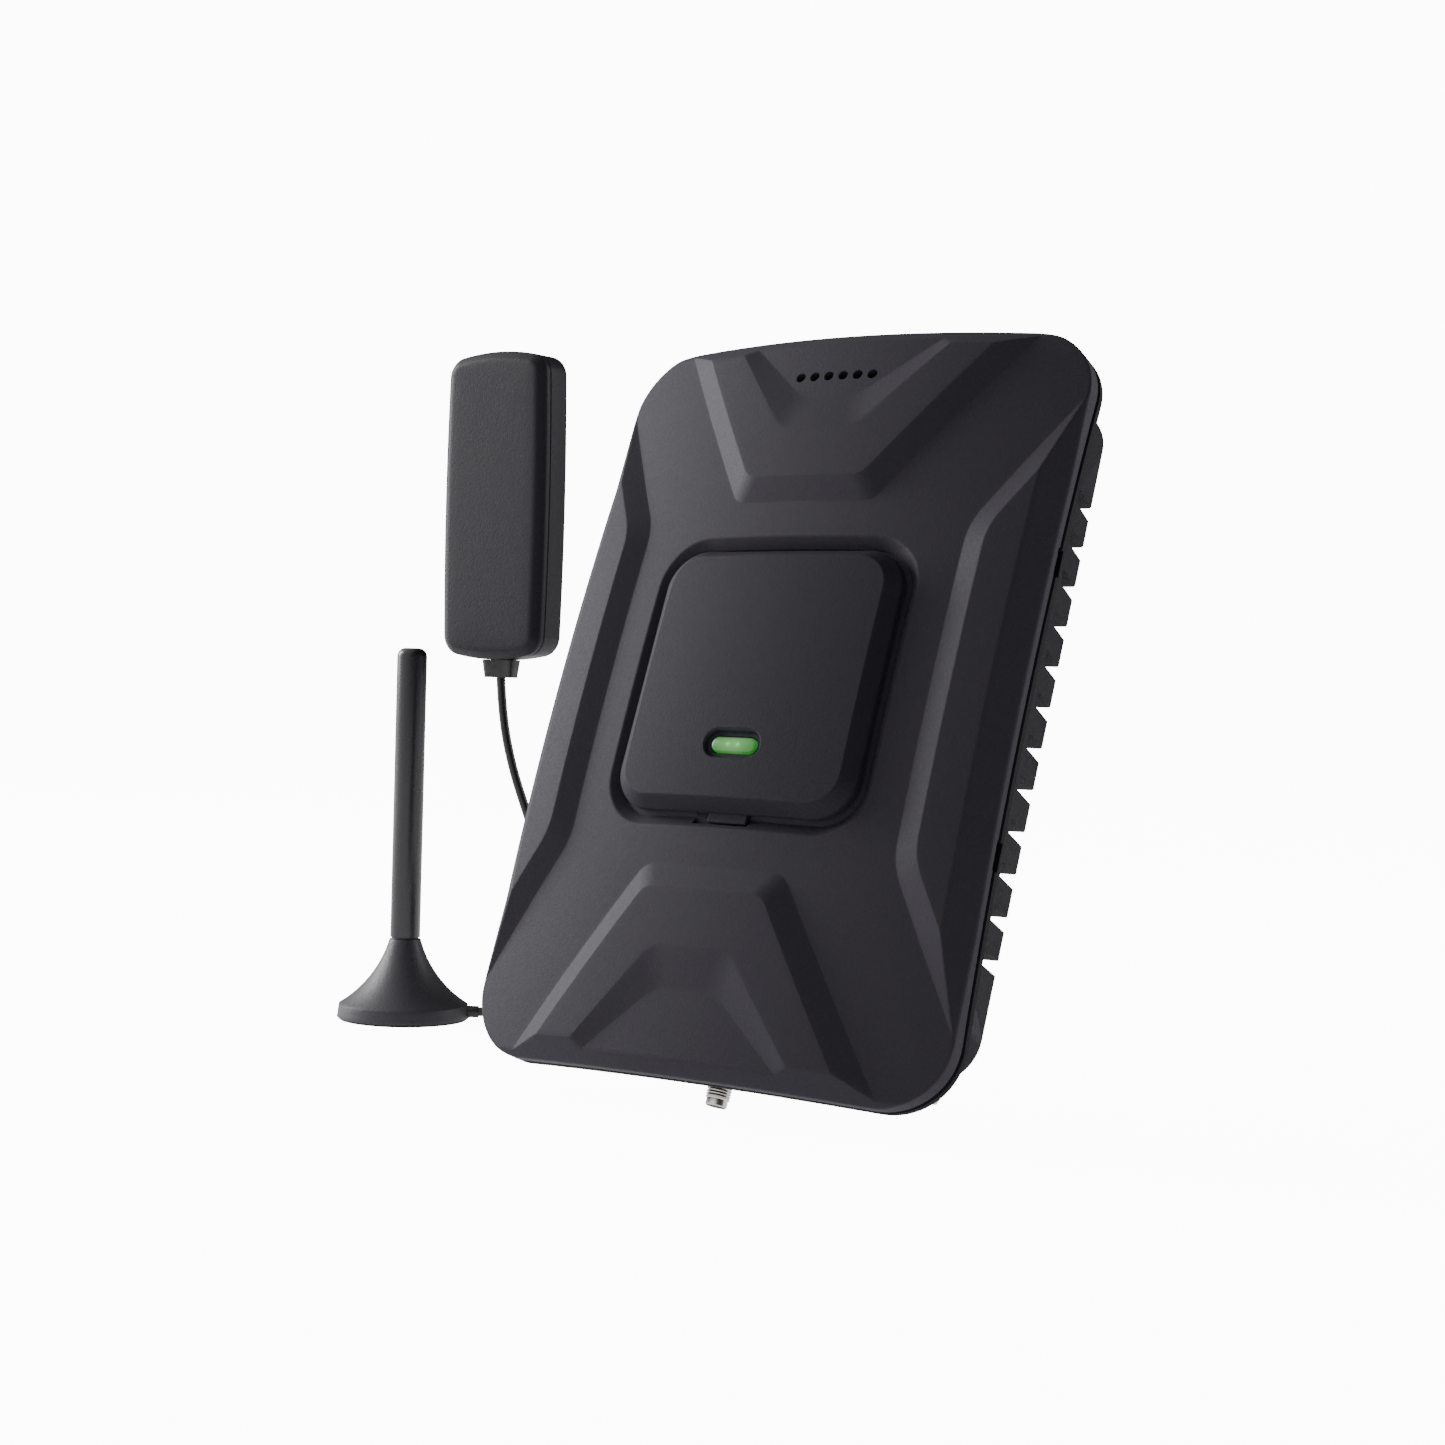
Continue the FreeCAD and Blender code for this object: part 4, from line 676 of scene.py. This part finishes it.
# ---------------------------------------------------------------- leads
LEAD = 2.8                      # diameter of both leads
INSIDE_COIL = (21.8, 36)        # middle of each coil on the floor
OUTSIDE_COIL = (-31.2, 38)


def make_ties():
    """A flat strap looped round each coil."""
    for side, x, y, across, high in (("inside", INSIDE_COIL[0], 19.5, 14.7, 9.6),
                                     ("outside", OUTSIDE_COIL[0], 20, 18.8, 14.4)):
        low = 0.05
        centre = Matrix.Translation(Vector((x, y, (low + high) / 2)) * MM)
        loop = centre @ Matrix(((0, 0, 1, 0), (1, 0, 0, 0), (0, 1, 0, 0), (0, 0, 0, 1)))
        outer = (across / 2, (high - low) / 2, 3)
        section = ((0.8, -2.8), (0.6, -3), (0.2, -3), (0, -2.8),
                   (0, 2.8), (0.2, 3), (0.6, 3), (0.8, 2.8), (0.8, -2.8))
        rings = [lifted(inset(outer, depth), reach) for depth, reach in section]
        vertices, faces = stack(rings, False, False)
        strap = mesh_piece(f"{side}_coil_strap", np.array(vertices) * MM, faces, loop)
        finish_piece(strap, "tie_fabric", replaced=[f"{side}_coil_tie"])


ROW_RISE = LEAD * math.sqrt(3) / 2
TURN_POINTS = 16
INSIDE_LEAD = [(-85.3, 45.5, 105), (-84.2, 45.4, 93), (-80.1, 45.7, 77.5), (-74.1, 46.5, 63),
               (-68.7, 49, 47), (-62.2, 54, 32), (-52.2, 61, 17.5), (-37.2, 67.5, 7),
               (-19.2, 69.5, 2.6), (-2.2, 65, 3.4), (8.5, 58, 4.6)]
INSIDE_TAIL = [(41.8, 27, 3), (44.8, 13, 4.3), (56, 4.5, 4.9), (71.8, 4.5, 4.9)]
OUTSIDE_LEAD = [(-83.53, 36.76, 2.6), (-68.6, 46.8, 3), (-54.5, 55.2, 5.8)]
OUTSIDE_TAIL = [(-8.9, 24, 3.6), (-6.2, 5.5, 5), (4.8, -3, 4.9), (18.8, -3, 4.9)]


def coil_turns(x, y, slots, start, stop):
    """Points of a neat coil wound clockwise from above: each slot is (radius, row) of one turn."""
    shift = 5
    swell = 1 / math.cos(math.pi / TURN_POINTS)
    total = len(slots) * TURN_POINTS + round((start - stop) / 360 * TURN_POINTS)
    points = []
    for n in range(total + 1):
        turn, step = divmod(n, TURN_POINTS)
        here = slots[min(turn, len(slots) - 1)]
        after = slots[min(turn + 1, len(slots) - 1)]
        share = max(0, step - (TURN_POINTS - shift)) / shift
        share = share * share * (3 - 2 * share)
        radius, row = [a + (b - a) * share for a, b in zip(here, after)]
        angle = math.radians(start - 360 * n / TURN_POINTS)
        points.append((x + radius * swell * math.cos(angle), y + radius * swell * math.sin(angle),
                       1 + LEAD / 2 + row * ROW_RISE))
    return points


def make_cord(name, points, replaced):
    """A lead on a smooth curve through its route."""
    curve = bpy.data.curves.new(name, "CURVE")
    curve.dimensions = "3D"
    curve.bevel_depth = LEAD / 2 * MM
    curve.bevel_resolution = 3
    curve.resolution_u = 4
    curve.use_fill_caps = True
    spline = curve.splines.new("NURBS")
    spline.points.add(len(points) - 1)
    for control, point in zip(spline.points, points):
        control.co = (*[size * MM for size in point], 1)
    spline.use_endpoint_u = True
    spline.order_u = 3
    item = bpy.data.objects.new(name, curve)
    bpy.context.scene.collection.objects.link(item)
    finish_piece(item, "lead_jacket", replaced=replaced)


def outside_slots():
    """Winding order of the outside coil: middle row inwards, the two upper rows outwards in a zigzag,
    then the second row inwards and the lowest outwards."""
    pitch = LEAD
    middle = 18
    slots = [(middle + (2.5 - n) * pitch, 2) for n in range(6)]
    slots += [(middle + (n / 2 - 2) * pitch, 3 + n % 2) for n in range(9)]
    slots += [(middle + (2 - n) * pitch, 1) for n in range(5)]
    slots += [(middle + (n - 1.5) * pitch, 0) for n in range(4)]
    return slots


def inside_slots():
    """Winding order of the inside coil: the two upper rows inwards in a zigzag, the lowest outwards."""
    outermost = 21.4
    slots = [(outermost - n * LEAD / 2, 1 + n % 2) for n in range(8)]
    return slots + [(outermost - LEAD * (3.5 - n), 0) for n in range(4)]


def make_cords():
    """Both leads, each from its antenna through its coil to its plug."""
    inside = INSIDE_LEAD + coil_turns(*INSIDE_COIL, inside_slots(), 112, 0) + INSIDE_TAIL
    make_cord("inside_lead", inside,
              ["inside_lead_tube", "inside_lead_coil", "inside_tail_tube"])
    outside = OUTSIDE_LEAD + coil_turns(*OUTSIDE_COIL, outside_slots(), 130, 0) + OUTSIDE_TAIL
    make_cord("outside_lead", outside,
              ["outside_lead_tube", "outside_lead_coil", "outside_tail_tube"])


# ---------------------------------------------------------------- floor and light
def add_floor():
    """A pale sheet that the set stands on."""
    bpy.ops.mesh.primitive_plane_add(size=12, location=(0, 0, -0.0002))
    floor = bpy.context.active_object
    floor.name = "floor"
    material, tree, shader, place = blank("pale floor")
    tone = noise(tree, place, 3, 2)
    tree.links.new(two_tone(tree, tone, (0.86, 0.86, 0.86), (0.9, 0.9, 0.9)), shader.inputs["Base Color"])
    shader.inputs["Roughness"].default_value = 0.9
    shader.inputs["Emission Color"].default_value = (1, 1, 1, 1)
    seen = node(tree, "LightPath").outputs["Is Camera Ray"]
    mirrored = node(tree, "LightPath").outputs["Is Glossy Ray"]
    bright = larger(tree, spread(tree, seen, 0.3, 12, 0, 1), spread(tree, mirrored, 0, 1, 0, 1))
    tree.links.new(bright, shader.inputs["Emission Strength"])
    floor.data.materials.append(material)


def add_light(name, place, target, size, power):
    """A soft rectangular light turned to a target."""
    light = bpy.data.lights.new(name, "AREA")
    light.shape = "RECTANGLE"
    light.size, light.size_y = size
    light.energy = power
    item = bpy.data.objects.new(name, light)
    bpy.context.scene.collection.objects.link(item)
    item.location = place
    item.rotation_euler = (Vector(target) - Vector(place)).to_track_quat("-Z", "Y").to_euler()


def add_lights():
    """A dim white surround that looks bright itself, and a large soft light high on the left."""
    world = bpy.data.worlds.new("studio")
    world.use_nodes = True
    tree = world.node_tree
    background = tree.nodes["Background"]
    background.inputs["Color"].default_value = (1, 1, 1, 1)
    seen = node(tree, "LightPath").outputs["Is Camera Ray"]
    mirrored = node(tree, "LightPath").outputs["Is Glossy Ray"]
    toward = node(tree, "VectorMath", Vector=node(tree, "TexCoord").outputs["Generated"])
    toward.operation = "DOT_PRODUCT"
    toward.inputs[1].default_value = (-0.6, -0.6, 0.53)
    card = node(tree, "Math")
    card.operation = "MULTIPLY"
    tree.links.new(mirrored, card.inputs[0])
    tree.links.new(spread(tree, toward.outputs["Value"], 0.08, 1.3, 0.2, 0.75), card.inputs[1])
    bright = larger(tree, spread(tree, seen, 0.06, 12, 0, 1), card.outputs["Value"])
    tree.links.new(bright, background.inputs["Strength"])
    bpy.context.scene.world = world
    middle = Vector((0.03, 0, 0.1))
    add_light("key", middle + Vector((-1.15, -0.2, 0.42)), middle, (0.5, 0.7), 20)
    add_light("rim", middle + Vector((0.8, 0.9, 0.5)), middle, (0.4, 0.6), 6)
    for x in (-1.5, 1.5):
        glow = bpy.data.lights.new("lamp glow", "POINT")
        glow.energy = 0.0001
        glow.color = (0.15, 1, 0.25)
        glow.shadow_soft_size = 0.3 * MM
        item = bpy.data.objects.new("lamp glow", glow)
        bpy.context.scene.collection.objects.link(item)
        item.location = BOOSTER @ (Vector((x, LAMP[1], 14)) * MM)
        item.visible_camera = False
        item.visible_glossy = False


MATERIALS = make_materials()
add_camera()
dress_nodes(MATERIALS)
make_ties()
make_cords()
make_cover()
make_badge()
make_lens()
make_ports()
make_panel()
add_floor()
add_lights()
